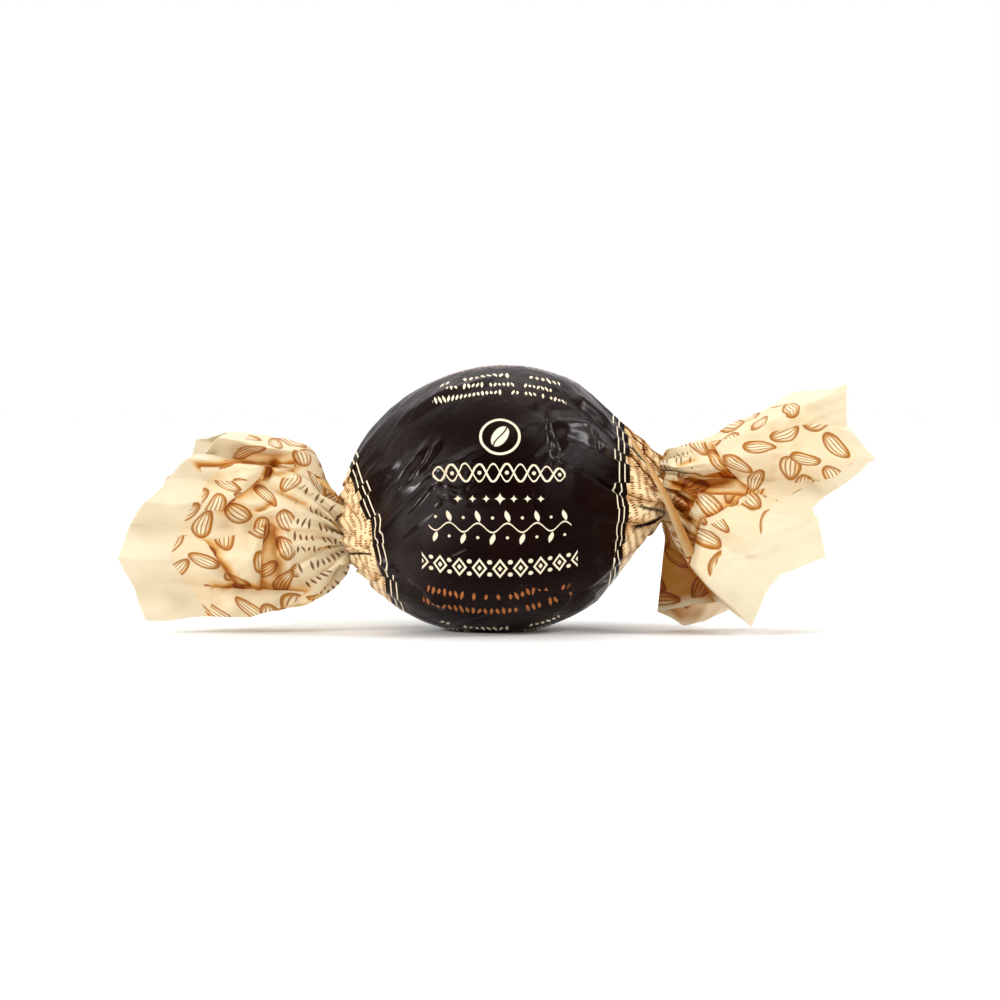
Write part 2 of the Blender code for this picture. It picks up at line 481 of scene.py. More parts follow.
class Graph:
    """The nodes of one material or of the world, built one by one."""

    def __init__(self, owner: "bpy.types.Material | bpy.types.World") -> None:
        """An empty tree."""
        self.owner = owner
        owner.use_nodes = True
        self.tree = owner.node_tree
        self.tree.nodes.clear()

    def node(self, kind: str, settings: dict | None = None, sockets: dict | None = None) -> bpy.types.Node:
        """Any node.

        Args:
            kind: The node's type.
            settings: Its properties, set first.
            sockets: Values or links of its inputs, by name, identifier or number.

        Returns:
            The node.
        """
        made = self.tree.nodes.new(kind)
        for name, setting in (settings or {}).items():
            setattr(made, name, setting)
        for key, given in (sockets or {}).items():
            socket = made.inputs[key] if isinstance(key, int) else self.named(made.inputs, key)
            if isinstance(given, Value):
                self.tree.links.new(given.socket, socket)
            elif isinstance(given, bpy.types.NodeSocket):
                self.tree.links.new(given, socket)
            else:
                socket.default_value = given
        return made

    @staticmethod
    def named(sockets: bpy.types.bpy_prop_collection, key: str) -> bpy.types.NodeSocket:
        """The socket with this identifier or, failing that, this name."""
        return next((s for s in sockets if s.identifier == key), None) or sockets[key]

    def out(self, node: bpy.types.Node, key: str) -> Value:
        """One output of a node."""
        return Value(self, self.named(node.outputs, key))

    def uv(self, name: str) -> tuple[Value, Value, bpy.types.NodeSocket]:
        """A UV map: its two coordinates in millimetres, and the pair as it comes."""
        both = self.node("ShaderNodeUVMap", {"uv_map": name}).outputs["UV"]
        return *self.split(both), both

    def split(self, vector: bpy.types.NodeSocket) -> tuple[Value, Value]:
        """A vector's X and Y."""
        parts = self.node("ShaderNodeSeparateXYZ", None, {"Vector": vector})
        return self.out(parts, "X"), self.out(parts, "Y")

    def vector(
        self, operation: str, *operands: "Value | tuple | bpy.types.NodeSocket"
    ) -> bpy.types.NodeSocket:
        """What one Vector Math node works out."""
        sockets = dict(enumerate(operands))
        return self.node("ShaderNodeVectorMath", {"operation": operation}, sockets).outputs["Vector"]

    def cells(self, place: bpy.types.NodeSocket, size: float, uneven: float = 1.0) -> tuple[Value, ...]:
        """Scattered cells on a plane.

        Args:
            place: The place on the plane.
            size: From one cell to the next.
            uneven: From 0 to 1, how far their middles stray from an even grid.

        Returns:
            The place from the cell's middle, as X and Y, and three numbers from 0 to 1 drawn for it.
        """
        sockets = {"Vector": place, "Scale": 1 / size, "Randomness": uneven}
        cell = self.node("ShaderNodeTexVoronoi", {"voronoi_dimensions": "2D", "feature": "F1"}, sockets)
        draw = self.node("ShaderNodeSeparateColor", None, {0: cell.outputs["Color"]})
        drawn = (self.out(draw, key) for key in ("Red", "Green", "Blue"))
        return *self.split(self.vector("SUBTRACT", place, cell.outputs["Position"])), *drawn

    def mark(self, name: str) -> Value:
        """A number on the points."""
        return self.out(self.node("ShaderNodeAttribute", {"attribute_name": name}), "Fac")

    def noise(self, size: float, detail: float = 2.0) -> Value:
        """Soft noise.

        Args:
            size: How large its patches are, in millimetres.
            detail: How many finer layers are added.

        Returns:
            About 0 to 1.
        """
        place = self.node("ShaderNodeTexCoord").outputs["Object"]
        sockets = {"Vector": place, "Scale": 1 / (size * MM), "Detail": detail}
        return self.out(self.node("ShaderNodeTexNoise", None, sockets), "Fac")

    def mix(self, share: Value | float, under: "Value | Colour", over: "Value | Colour") -> Value:
        """A colour between two, as paint over paint."""
        sockets = {"Factor_Float": share, "A_Color": under, "B_Color": over}
        return self.out(self.node("ShaderNodeMix", {"data_type": "RGBA"}, sockets), "Result_Color")

    def tinted(self, colour: Value, share: Value, tint: Colour) -> Value:
        """A colour multiplied by a tint.

        Args:
            colour: The colour.
            share: From 0 to 1, how much of the tint it takes.
            tint: What it is multiplied by.

        Returns:
            The tinted colour.
        """
        sockets = {"Factor_Float": share, "A_Color": colour, "B_Color": tint}
        settings = {"data_type": "RGBA", "blend_type": "MULTIPLY"}
        return self.out(self.node("ShaderNodeMix", settings, sockets), "Result_Color")

    def grains(self, x: Value, y: Value, period: float, height: float, width: float) -> Value:
        """A row of small solid grains along x, pointed at both ends, with gaps left by chance.

        A grain's half width falls off as one minus the square of the place along it.

        Args:
            x: The place along the row.
            y: The place across it, from its middle.
            period: From one grain to the next.
            height: The height of the tallest grain.
            width: Half the width of a grain at its middle.

        Returns:
            A mask of the print.
        """
        cell = (x / period).floor()
        rise = y * 2.0 / ((self.chance(cell, 5.0) * 0.45 + 0.55) * height)
        lean = (self.chance(cell, 2.0) - 0.5) * 0.7
        off = abs(x.within(period) - y * lean)
        return off.below((1 - rise * rise) * width, 0.08) & self.chance(cell, 8.0).above(0.14, 0.01)

    def crushed(self, across: Value, along: Value, size: float) -> Value:
        """Crushed film: cells that are each a plane tilted by chance, level at their borders.

        Args:
            across: The place across the cells.
            along: The place along them, where they are longer.
            size: From one cell to the next across them.

        Returns:
            A height, of up to a tenth of the size either way.
        """
        uneven = self.noise(5.0) * 1.6
        sockets = {"X": across + uneven, "Y": (along - uneven) * 0.42}
        place = self.node("ShaderNodeCombineXYZ", None, sockets).outputs["Vector"]
        x, y, first, second, _ = self.cells(place, size)
        settings = {"voronoi_dimensions": "2D", "feature": "DISTANCE_TO_EDGE"}
        border = self.node("ShaderNodeTexVoronoi", settings, {"Vector": place, "Scale": 1 / size})
        tilted = (first - 0.5) * x + (second - 0.5) * y
        return tilted * self.out(border, "Distance").above(0.05, 0.10)

    def chance(self, cell: Value, seed: float) -> Value:
        """A number from 0 to 1 drawn for each whole cell."""
        sockets = {"W": cell + seed}
        return self.out(self.node("ShaderNodeTexWhiteNoise", {"noise_dimensions": "1D"}, sockets), "Value")

    def finish(
        self, colour: Value, roughness: Value | float, height: Value, sockets: dict
    ) -> bpy.types.Material:
        """The Principled shader and the output.

        Args:
            colour: What goes into its base colour.
            roughness: Its roughness.
            height: Fine relief in millimetres.
            sockets: Its further sockets.

        Returns:
            The material.
        """
        bump = self.node("ShaderNodeBump", None, {"Height": height, "Strength": 1.0, "Distance": MM})
        given = {"Base Color": colour, "Roughness": roughness, "Normal": bump.outputs["Normal"], **sockets}
        shader = self.node("ShaderNodeBsdfPrincipled", None, given)
        self.node("ShaderNodeOutputMaterial", None, {"Surface": shader.outputs["BSDF"]})
        return self.owner


# ---------------------------------------------------------------------------------------------------
# Finishes
# ---------------------------------------------------------------------------------------------------


@dataclass(frozen=True)
class CreamFinish:
    """Satin cream film, printed with line drawings of cocoa beans and, near the neck, small marks."""

    name: str
    flaps: tuple[Flap, ...]
    paper: Colour = (0.775, 0.63, 0.405, 1)
    margin: Colour = (0.755, 0.655, 0.465, 1)
    tan: Colour = (0.60, 0.28, 0.04, 1)
    ink: Colour = (0.33, 0.105, 0.002, 1)
    mark_ink: Colour = (0.14, 0.03, 0.001, 1)
    # the beans' fill, and the painted light on the paper near the neck
    light: Colour = (0.84, 0.72, 0.48, 1)
    deep: Colour = (0.86, 0.52, 0.12, 1)  # painted shade: what the film is multiplied by in its valleys and in the hollow at the neck
    deepest_shade: Colour = (0.58, 0.31, 0.07, 1)  # painted shade again: in the deepest valleys and in the pockets
    bean_length: float = 5.0
    bean_width: float = 2.6
    spacing: float = 6.7  # from one bean to the next of the same scatter
    scatters: tuple[float, float] = (11.0, 47.5)  # shifts of the two scatters, in spacings
    mark_rows: float = 2.5  # between two rows of small marks
    mark_zone: float = 7.5  # how far from the neck they reach
    mark_size: tuple[float, float, float] = (0.82, 1.9, 0.19)  # spacing, height and half width
    mark_girth: tuple[float, float] = (4.0, 12.0)  # where they are round the neck: middle, half width
    roughness: float = 0.42

    def folded(self, graph: Graph) -> tuple[bpy.types.NodeSocket, Value | float]:
        """The print's place, shifted on every flap, and the shade beside the flaps' folded edges.

        The shade falls off as e to the power of minus the distance over its reach.

        Args:
            graph: The material.

        Returns:
            The place, and the shade from 0 up.
        """
        _, _, place = graph.uv("fan")
        shade: Value | float = 0.0
        for i, flap in enumerate(self.flaps):
            off = graph.mark(f"flap_{i}")
            on = off.above(0.0, 0.05)
            place = graph.vector("MULTIPLY_ADD", (*flap.slip, 0.0), on, place)
            fall = (off / flap.shade_reach).maths("MINIMUM", 0.0).maths("EXPONENT")
            beside = fall * graph.mark(f"fold_{i}") * flap.shade
            shade = ((1 - on) * beside) | ((1 - on) * shade)
        return place, shade

    def beans(self, graph: Graph, place: bpy.types.NodeSocket, shift: float) -> tuple[Value, Value, Value]:
        """Line drawings of beans, one in each cell of an uneven grid, each turned and sized by chance.

        A bean is an egg: the length of (along / half length, across / half width) is under 1, with the
        half width growing towards one end. Its inner lines are meridians: across over the egg's own
        half width at that place.

        Args:
            graph: The material.
            place: The place on the film.
            shift: How far the grid is shifted both ways, for another scatter.

        Returns:
            Masks of the beans' fill, shading and lines.
        """
        moved = graph.vector("ADD", place, (shift, shift, 0))
        x, y, first, second, third = graph.cells(moved, self.spacing, 0.32)
        turn = first * (2 * np.pi)
        size = second * 0.22 + 0.86
        fat = third * 0.35 + 0.80
        along = (x * turn.cosine() + y * turn.sine()) / (size * (self.bean_length / 2))
        across = (y * turn.cosine() - x * turn.sine()) / (size * fat * (self.bean_width / 2))
        across = across / (1 + along * 0.14) + along * along * 0.10
        wobble = graph.noise(1.6) * 0.10 - 0.05
        egg = along.out_to(across) + wobble
        half = (0.72 - along * along).maths("MAXIMUM", 0.0).root()
        meridian = across / (half + 0.06)
        inner = egg.below(0.80, 0.06)
        lines = (abs(meridian).near(0.50, 0.085, 0.10) | meridian.near(0.0, 0.07, 0.10)) & inner
        rim = egg.near(0.93, 0.085, 0.08)
        second = egg.near(0.79, 0.045, 0.07) * 0.75
        shade = egg.below(0.98, 0.05) * egg.above(0.70, 0.35) * (1 - across * 0.5) * 0.85
        return egg.below(1.0, 0.05), shade, rim | lines | second

    def marks(self, graph: Graph) -> Value:
        """Rows of leaning grains near the neck, along the twist axis.

        Args:
            graph: The material.

        Returns:
            A mask of the print.
        """
        outwards, girth, _ = graph.uv("sheet")
        along = outwards + (girth / self.mark_rows).floor() * 7.3
        return graph.grains(along, girth.within(self.mark_rows), *self.mark_size)

    def marked(self, graph: Graph) -> Value:
        """The part near the neck that the marks are on."""
        outwards, girth, _ = graph.uv("sheet")
        return outwards.below(self.mark_zone, 0.3) * girth.near(*self.mark_girth, 0.5)

    def material(self) -> bpy.types.Material:
        """The cream film, with painted shade in its valleys, hollow and pockets and beside its folded edges.

        Returns:
            The material.
        """
        graph = Graph(bpy.data.materials.new(self.name))
        place, shade = self.folded(graph)
        past = graph.mark("past_margin")
        marked = self.marked(graph)
        printed = past.above(0.0, 0.12) * (1 - marked)
        cloud = graph.noise(6.0) * 0.7
        colour = graph.mix(past.above(0.0, 0.3) * (0.5 + cloud), self.margin, self.paper)
        for shift in self.scatters:
            fill, edge, lines = self.beans(graph, place, shift * self.spacing)
            colour = graph.mix(fill * printed, colour, self.light)
            colour = graph.mix(edge * printed, colour, self.tan)
            colour = graph.mix(lines * printed * 0.95, colour, self.ink)
        # Painted light: the paper near the neck, where the marks are, is made lighter.
        colour = graph.mix(marked * 0.7, colour, self.light)
        colour = graph.mix(self.marks(graph) * marked * 0.9, colour, self.mark_ink)
        # Painted shade: the valleys, the shade beside folded edges, the hollow at the neck and the pockets
        # darken the film.
        valley = graph.mark("valley") + shade
        deep = (valley.above(0.36, 0.7) * 0.85) | (graph.mark("hollow") * 0.9)
        colour = graph.tinted(colour, deep, self.deep)
        colour = graph.tinted(colour, valley.above(0.85, 0.6) | graph.mark("pocket"), self.deepest_shade)
        relief = abs(graph.noise(2.6, 3.0) - 0.5) * 0.05
        rough = graph.noise(4.0) * 0.14 + (self.roughness - 0.07)
        return graph.finish(colour, rough, relief, {"IOR": 1.46, "Specular IOR Level": 0.3})


@dataclass(frozen=True)
class PanelFinish:
    """Glossy near-black brown film with cream borders and ornaments, and cream past its edges."""

    dark: Colour = (0.0042, 0.0013, 0.0011, 1)
    warm: Colour = (0.0085, 0.0026, 0.0019, 1)
    cream: Colour = (0.86, 0.68, 0.40, 1)
    print_cream: Colour = (0.93, 0.83, 0.62, 1)
    orange: Colour = (0.42, 0.14, 0.04, 1)
    ink: Colour = (0.24, 0.075, 0.004, 1)
    repeat: float = 44.1  # girth between one label and the next
    start: float = 19.5  # from the middle of the front down to where the label's period starts
    cream_rows: tuple[Row, ...] = ((36.8, 9.3, 1.25), (38.7, 7.2, 1.25), (41.4, 8.4, 1.9))
    orange_rows: tuple[Row, ...] = ((5.7, 10.2, 1.9), (2.7, 11.0, 1.9))
    border_lines: tuple[float, float] = (-1.05, -2.15)  # how far past the edge they are
    lozenges_at: float = 10.6  # the middles of the ornaments, up the label
    vine_at: float = 16.4
    stars_at: float = 20.3
    braid_at: float = 23.8
    emblem_at: float = 29.0
    mark_rows: float = 1.6  # between two rows of small marks on the cream ends
    mark_size: tuple[float, float, float] = (0.72, 1.35, 0.24)  # spacing, height and half width
    # Painted shade on the cream ends: in their valleys, on the last part of each pleat, and where each pleat
    # drops.
    valley_shade_tint: Colour = (0.54, 0.25, 0.06, 1)
    lip_shade_tint: Colour = (0.52, 0.27, 0.09, 1)  # painted shade on the last part of each pleat, under the next band's edge
    drop_shadow_tint: Colour = (0.34, 0.17, 0.07, 1)  # painted shadow where it drops to the next
    roughness: float = 0.24

    @staticmethod
    def stars(x: Value, y: Value, middle: float) -> Value:
        """A row of seven small four-pointed stars, the middle one larger.

        A star is where |x| and |y|, each to the power 0.62, add up to under its reach to that power.

        Args:
            x: The place along the label.
            y: The place up it.
            middle: The ornament's middle.

        Returns:
            A mask of the print.
        """
        spacing = 1.83
        reach = abs(x).below(0.4 * spacing, 0.01) * 0.28 + 0.52
        star = abs(x.within(spacing, 0.5)).maths("POWER", 0.62) + abs(y - middle).maths("POWER", 0.62)
        return star.below(reach.maths("POWER", 0.62), 0.1) & abs(x).below(3.5 * spacing, 0.05)

    @staticmethod
    def braid(x: Value, y: Value, middle: float) -> Value:
        """Two sine waves across each other, thinner at their crests, with a dot in every other eye.

        Args:
            x: The place along the label.
            y: The place up it.
            middle: The ornament's middle.

        Returns:
            A mask of the print.
        """
        half, wave, tall = 9.1, 3.64, 1.2
        fade = (1 - (x / half) * (x / half)).maths("MAXIMUM", 0.0).root() * 0.45 + 0.55
        turn = x * (2 * np.pi / wave)
        lift = turn.sine() * fade * tall
        level = abs(turn.cosine())
        strands = (y - lift).near(middle, level * 0.20 + 0.10, 0.08)
        strands = strands | (y + lift).near(middle, level * 0.06 + 0.10, 0.08)
        dot = x.within(wave, 0.25).out_to(y - middle).below(0.26, 0.08)
        return (strands | dot) & abs(x).below(half, 0.1)

    @staticmethod
    def vine(x: Value, y: Value, middle: float) -> Value:
        """A thin wavy stem, with a leaf and a berry beside every half wave.

        Args:
            x: The place along the label.
            y: The place up it.
            middle: The ornament's middle.

        Returns:
            A mask of the print.
        """
        half, wave = 9.9, 3.96
        turn = x * (2 * np.pi / wave)
        stem = (y - turn.sine() * 0.62).near(middle, 0.10, 0.08)
        cell = x.within(wave / 2)
        up = (x / wave * 2).floor() % 2.0 * -2.0 + 1.0
        rise = (y - middle) * up - 1.55
        leaf = abs(cell + rise * 0.3).below((rise * rise * -0.55 + 0.34), 0.08)
        berry = cell.out_to(rise + 2.9).below(0.20, 0.08)
        return (stem | leaf | berry) & abs(x).below(half, 0.1)

    @staticmethod
    def lozenges(x: Value, y: Value, middle: float) -> Value:
        """A bold chain of lozenge outlines, each with a smaller one in it, and pairs of dots between.

        Args:
            x: The place along the label.
            y: The place up it.
            middle: The ornament's middle.

        Returns:
            A mask of the print.
        """
        half, step = 11.0, 2.75
        lozenge = abs(x.within(step, 0.5)) / 1.05 + abs(y - middle) / 1.5
        dots = x.within(step).out_to(abs(y - middle) - 0.95).below(0.33, 0.08)
        bands = lozenge.near(0.84, 0.16, 0.08) | lozenge.below(0.30, 0.08)
        return (bands | dots) & abs(x).below(half, 0.1)

    @staticmethod
    def emblem(x: Value, y: Value, middle: float) -> Value:
        """A ring round a leaning bean with one long line.

        Args:
            x: The place along the label.
            y: The place up it.
            middle: The ornament's middle.

        Returns:
            A mask of the print.
        """
        rise = y - middle
        ring = x.out_to(rise).near(2.6, 0.17, 0.08)
        along = (x * 0.5 + rise * 0.87) / 1.75
        across = (x * 0.87 - rise * 0.5) / 1.05
        bean = along.out_to(across)
        line = (across - (along * 2.6).sine() * 0.16).near(0.0, 0.11, 0.1)
        return ring | (bean.below(0.95, 0.1) & (1 - line))

    @staticmethod
    def row(graph: Graph, x: Value, y: Value, middle: float, half_width: float, tall: float) -> Value:
        """A line of small leaning grains.

        Args:
            graph: The material.
            x: The place along the label.
            y: The place up it.
            middle: The line's middle.
            half_width: Half its width.
            tall: Its height.

        Returns:
            A mask of the print.
        """
        line = graph.grains(x + middle * 13.7, y - middle, 0.36 * tall + 0.14, tall, 0.05 + 0.10 * tall)
        return line & abs(x).below(half_width, 0.1)

    def material(self) -> bpy.types.Material:
        """The label round the ball, repeated round the girth, between its borders and the cream ends.

        Returns:
            The material.
        """
        graph = Graph(bpy.data.materials.new("dark_printed_film"))
        x, height, _ = graph.uv("label")
        y = (height + self.start) % self.repeat
        past = graph.mark("past_edge")
        colour = graph.mix(graph.noise(9.0).above(0.5, 0.4), self.dark, self.warm)
        for line in self.orange_rows:
            colour = graph.mix(self.row(graph, x, y, *line), colour, self.orange)
        colour = graph.mix(self.cream_print(graph, x, y, past), colour, self.print_cream)
        colour = graph.mix(past.above(0.0, 0.06), colour, self.ends(graph))
        # Painted shade on the pleats of the cream ends, and painted shadow lines in the dark film's colour.
        pleat, grown, _ = graph.uv("pleat")
        rise, on_ends = pleat % 1.0, past.above(0.0, 0.3)
        colour = graph.tinted(colour, rise.above(0.84, 0.28) * grown * on_ends * 0.9, self.lip_shade_tint)
        colour = graph.tinted(colour, rise.above(0.965, 0.03) * grown * on_ends, self.drop_shadow_tint)
        colour = graph.mix(graph.mark("pleat_line"), colour, self.dark)
        crushed = graph.mark("crushed")
        slanted = graph.crushed(x * 0.77 - height * 0.64, x * 0.64 + height * 0.77, 1.9) * x.below(0.0, 4.0)
        level = graph.crushed(height * 0.9 + x * 0.5, x * 0.9 - height * 0.5, 2.9) * x.above(0.0, 4.0)
        ridges = abs(graph.noise(5.0, 2.0) - 0.5) * 0.10 + graph.noise(1.1, 2.0) * 0.008
        ridges = ridges + (slanted * 0.55 + level * 0.42) * crushed
        rough = graph.noise(5.0) * 0.12 + (self.roughness - 0.06)
        sockets = {
            "IOR": 1.5,
            "Specular IOR Level": 0.03,
            "Specular Tint": (1.0, 0.76, 0.70, 1),
            "Coat Weight": crushed * (graph.noise(3.0) + 0.35) * 0.62,
            "Coat Roughness": 0.27,
            "Coat Tint": (1.0, 0.85, 0.82, 1),
        }
        return graph.finish(colour, rough, ridges, sockets)

    def cream_print(self, graph: Graph, x: Value, y: Value, past: Value) -> Value:
        """The label's ornaments and the border lines.

        Args:
            graph: The material.
            x: The place along the label.
            y: The place up it.
            past: The place past the dark film's edge.

        Returns:
            A mask of the print.
        """
        cream = self.lozenges(x, y, self.lozenges_at) | self.vine(x, y, self.vine_at)
        cream = cream | self.stars(x, y, self.stars_at) | self.braid(x, y, self.braid_at)
        cream = cream | self.emblem(x, y, self.emblem_at)
        for line in self.cream_rows:
            cream = cream | self.row(graph, x, y, *line)
        for middle in self.border_lines:
            cream = cream | past.near(middle, 0.11, 0.07)
        return cream

    def ends(self, graph: Graph) -> Value:
        """The cream film past the edge, with its rows of grains and painted shade in its valleys.

        Args:
            graph: The material.

        Returns:
            Its colour.
        """
        arc, girth, _ = graph.uv("sheet")
        out = abs(arc)
        along = girth + (out / self.mark_rows).floor() * 5.9
        mark = graph.grains(along, out.within(self.mark_rows), *self.mark_size)
        colour = graph.mix(mark * 0.95, self.cream, self.ink)
        return graph.tinted(colour, graph.mark("valley").above(0.18, 0.36) * 0.85, self.valley_shade_tint)


@dataclass(frozen=True)
class TableFinish:
    """A plain pale table top."""

    colour: Colour = (0.97, 0.97, 0.97, 1)
    roughness: float = 0.6

    def material(self) -> bpy.types.Material:
        """Matt, with a trace of unevenness.

        Returns:
            The material.
        """
        graph = Graph(bpy.data.materials.new("pale_table"))
        shade = graph.mix(graph.noise(90.0) * 0.03, self.colour, (0.88, 0.87, 0.86, 1))
        return graph.finish(shade, self.roughness, graph.noise(3.0) * 0.01, {})


# ---------------------------------------------------------------------------------------------------
# The sweet
# ---------------------------------------------------------------------------------------------------


@dataclass(frozen=True)
class Fold:
    """One crease of a tail, from the neck to the cut edge, in millimetres from the neck's middle."""

    reach: float  # along X, away from the ball
    rise: float  # up
    front: float  # towards -Y
    flare: float = 0.0  # 1 spreads at the neck and then runs out, 0 is straight
    bow: float = 0.0  # how far its middle stands out from the twist axis
    bend: tuple[float, float, float] | None = None  # reach, rise and front of its own control point
    knee: float = 0.0  # how hard it turns there, if not as its tail does
    margin: float = 6.0  # the unprinted stretch before the cut edge
    pocket: float = 0.0  # painted shade: how much darker the film is made there, in the depth of a pocket


@dataclass(frozen=True)
class Neck:
    """Where the film is twisted: places in millimetres from the ball's middle."""

    side: Side
    shoulder: float  # half length of the ellipse that the film follows on this side of the ball
    leave: float  # degrees round that ellipse, from the ball's middle to where the film leaves it
    reach: float
    rise: float
    radius: float

    def middle(self) -> Array:
        """The neck's middle, from the ball's middle."""
        return np.array((self.side.value * self.reach, 0.0, self.rise))

    def axis(self) -> Array:
        """The direction of the film's axis here, from left to right."""
        return unit(self.middle()) * self.side.value


LEFT_NECK = Neck(side=Side.LEFT, shoulder=21.7, leave=62, reach=21.7, rise=-4.5, radius=3.0)
RIGHT_NECK = Neck(side=Side.RIGHT, shoulder=20.7, leave=36, reach=22.4, rise=1.9, radius=3.7)


def ring(middle: Array, axis: Array, radii: Array, turns: Array) -> Array:
    """Points round an axis: turn 0 is at the top and a quarter turn at the front.

    Args:
        middle: Where the axis is.
        axis: Its direction.
        radii: Each point's distance from it.
        turns: Each point's turn, in radians.

    Returns:
        The points.
    """
    top = unit(UP - axis * axis[2])
    spokes = np.cos(turns)[:, None] * top + np.sin(turns)[:, None] * FRONT
    return middle + radii[:, None] * spokes


@dataclass
class BallWrap:
    """The film round the ball, from the left neck to the right neck."""

    middle: Array
    radius: float = 18.5
    columns: int = 400
    crowding: float = 0.42  # how much closer the front columns are
    ball_rows: int = 88  # on each side
    cone_rows: int = 32  # from where the film leaves the ball to the neck, on each side
    necks: tuple[Neck, Neck] = (LEFT_NECK, RIGHT_NECK)
    bands: int = 10  # pleats round each cone
    band_depth: float = 0.9
    relief: float = 2.5  # how much deeper the creases are than they are listed
    level_crumple: float = 0.02  # depth of the facets everywhere
    crushed_crumple: float = 0.07  # and of those where the film is crushed
    streak_depth: float = 0.34
    wave_depth: float = 0.05
    pull_depth: float = 0.26  # of the folds that the twists pull towards the necks
    lowest: float = 0.05  # where the film is flattened, a little above the floor
    front_edge: tuple[float, float] = (20.2, 20.9)  # arc to the dark film's edge in front, left and right
    top_swing: tuple[float, float] = (3.0, 1.0)  # how much more of it there is at the top
    bottom_swing: tuple[float, float] = (-0.6, -3.0)
    breaks: int = 11  # straight stretches that the edge is broken into
    cap: float = 3.2  # how far inside each neck the closed end's middle is
    crushed: tuple[tuple[float, tuple[float, float], tuple[float, float]], ...] = (
        (1.0, (9, 9), (6, 4.5)),
        (0.9, (-8, 2), (5, 5)),
        (0.7, (-13, -9), (4, 4)),
    )  # where the film is crushed: how much, the middle and the spread
    streaked: tuple[tuple[float, float], tuple[float, float]] = ((-11, 0.5), (4.5, 6.5))
    creases: tuple[Crease, ...] = (
        Crease((-17.5, -6.5), (-8.6, 3.6), 0.42, 2.6, 0.35, bow=0.5),
        Crease((-9.6, 2.6), (-1.2, 7.6), 0.34, 1.2, 0.5, bow=0.4),
        Crease((-15.6, 0.2), (-9.2, 8.4), 0.30, 0.9, 0.9),
        Crease((-14.2, -2.6), (-8.0, 5.4), 0.22, 0.6, 0.8),
        Crease((-16.6, -2.4), (-11.4, 5.0), 0.24, 0.7, 0.7, bow=0.3),
        Crease((-12.0, 3.0), (-7.4, 9.4), 0.22, 0.6, 0.6, bow=-0.3),
        Crease((-9.4, 2.8), (-4.2, -1.4), 0.30, 1.4, 0.8),
        Crease((-8.6, -1.0), (-4.4, 1.8), 0.26, 0.8, 1.2),
        Crease((-7.2, 3.8), (-5.6, -1.8), 0.20, 0.8, 0.8),
        Crease((-6.4, 5.6), (-2.8, 4.6), 0.20, 0.6, 0.6),
        Crease((6.6, 6.9), (18.4, 0.0), -0.48, 2.8, 0.45, bow=0.35),
        Crease((6.2, 12.4), (8.6, 6.6), -0.16, 0.6, 0.9),
        Crease((2.6, 10.6), (12.6, 11.2), 0.12, 1.6, 1.0),
        Crease((12.0, 11.2), (14.2, 6.0), 0.14, 1.0, 1.2),
        Crease((4.0, 1.8), (4.6, -1.6), 0.16, 0.5, 0.5),
        Crease((6.0, 1.4), (6.2, -2.0), 0.16, 0.5, 0.5),
        Crease((2.4, -11.0), (9.4, -12.6), -0.34, 0.5, 2.4, bow=-0.4),
        Crease((8.2, -12.5), (15.2, -11.0), -0.40, 0.5, 2.6, bow=-0.5),
        Crease((-17.0, -9.0), (-9.0, -12.4), -0.34, 0.8, 1.8),
        Crease((-16.6, -7.4), (-12.6, -10.2), 0.30, 0.7, 0.7),
        Crease((-13.4, -10.2), (-7.2, -14.4), 0.28, 0.8, 0.8, bow=0.4),
        Crease((-7.4, -7.6), (-3.2, -5.6), 0.18, 0.4, 0.6),
        Crease((14.6, -4.4), (17.4, -5.0), 0.24, 0.5, 0.7),
        Crease((13.6, -5.6), (16.0, -8.6), 0.24, 0.8, 0.8),
        Crease((9.4, 15.2), (16.0, 9.4), 0.30, 0.6, 0.9),
        Crease((-14.4, 10.4), (-4.4, 16.8), 0.24, 1.4, 1.0),
        Crease((-10.6, 12.8), (0.8, 17.2), 0.18, 0.7, 0.9, bow=0.5),
    )
    flaps: tuple[Flap, ...] = (
        Flap(((2.4, 9.4), (4.4, 6.2), (6.8, 7.4), (6.5, 11.4)), (0.05, 0.30, 0.45), (1.0, 0.5, 0.4, 0.8)),
        Flap(((7.4, 11.2), (8.8, 7.2), (13.2, 6.2), (11.9, 11.3)), (0.30, 0.10, 0.45), (0.4, 0.6, 0.5, 0.8)),
        Flap(((12.1, 11.4), (13.4, 6.4), (16.4, 7.2), (15.5, 9.8)), (0.10, 0.45, 0.10), (0.4, 0.6, 1.2, 1.2)),
        Flap(((-9.2, 5.2), (-8.8, 2.0), (-4.6, 3.0), (-3.6, 6.4)), (0.35, 0.1, 0.45), (0.5, 0.8, 0.5, 0.5)),
        Flap(((-9.0, 1.2), (-6.0, -1.6), (-4.2, 0.6), (-5.6, 2.6)), (0.4, 0.5, 0.1), (0.5, 0.7, 0.8, 0.5)),
    )
    # Painted shadow only: creases seen from the front that mark dark lines between pleats; they add no
    # relief.
    gaps: tuple[Crease, ...] = (
        Crease((18.0, -3.9), (23.4, -1.6), 2.2, 0.35, 0.5),
        Crease((18.2, -0.4), (23.4, -1.8), 1.8, 0.28, 0.28),
        Crease((16.6, 8.4), (21.6, 3.6), 1.8, 0.35, 0.35),
        Crease((-21.6, -7.5), (-17.0, -7.1), 1.8, 0.22, 0.26, bow=0.2),
    )

    def profile(self, neck: Neck) -> tuple[Array, Array]:
        """Distances along the axis and radii, from the ball's middle to a neck.

        The film follows half an ellipse up to the angle where it leaves the ball, and then runs
        straight to the neck.

        Args:
            neck: The neck.

        Returns:
            The distances and the radii, row by row.
        """
        leave = np.radians(neck.leave)
        angles = np.linspace(0, leave, self.ball_rows + 1)
        ellipse = np.stack((neck.shoulder * np.sin(angles), self.radius * np.cos(angles)), axis=-1)
        shares = np.linspace(0, 1, self.cone_rows + 1)[1:, None]
        end = np.array((np.linalg.norm(neck.middle()), neck.radius))
        both = np.concatenate((ellipse, (1 - shares) * ellipse[-1] + shares * end))
        return both[:, 0], both[:, 1]

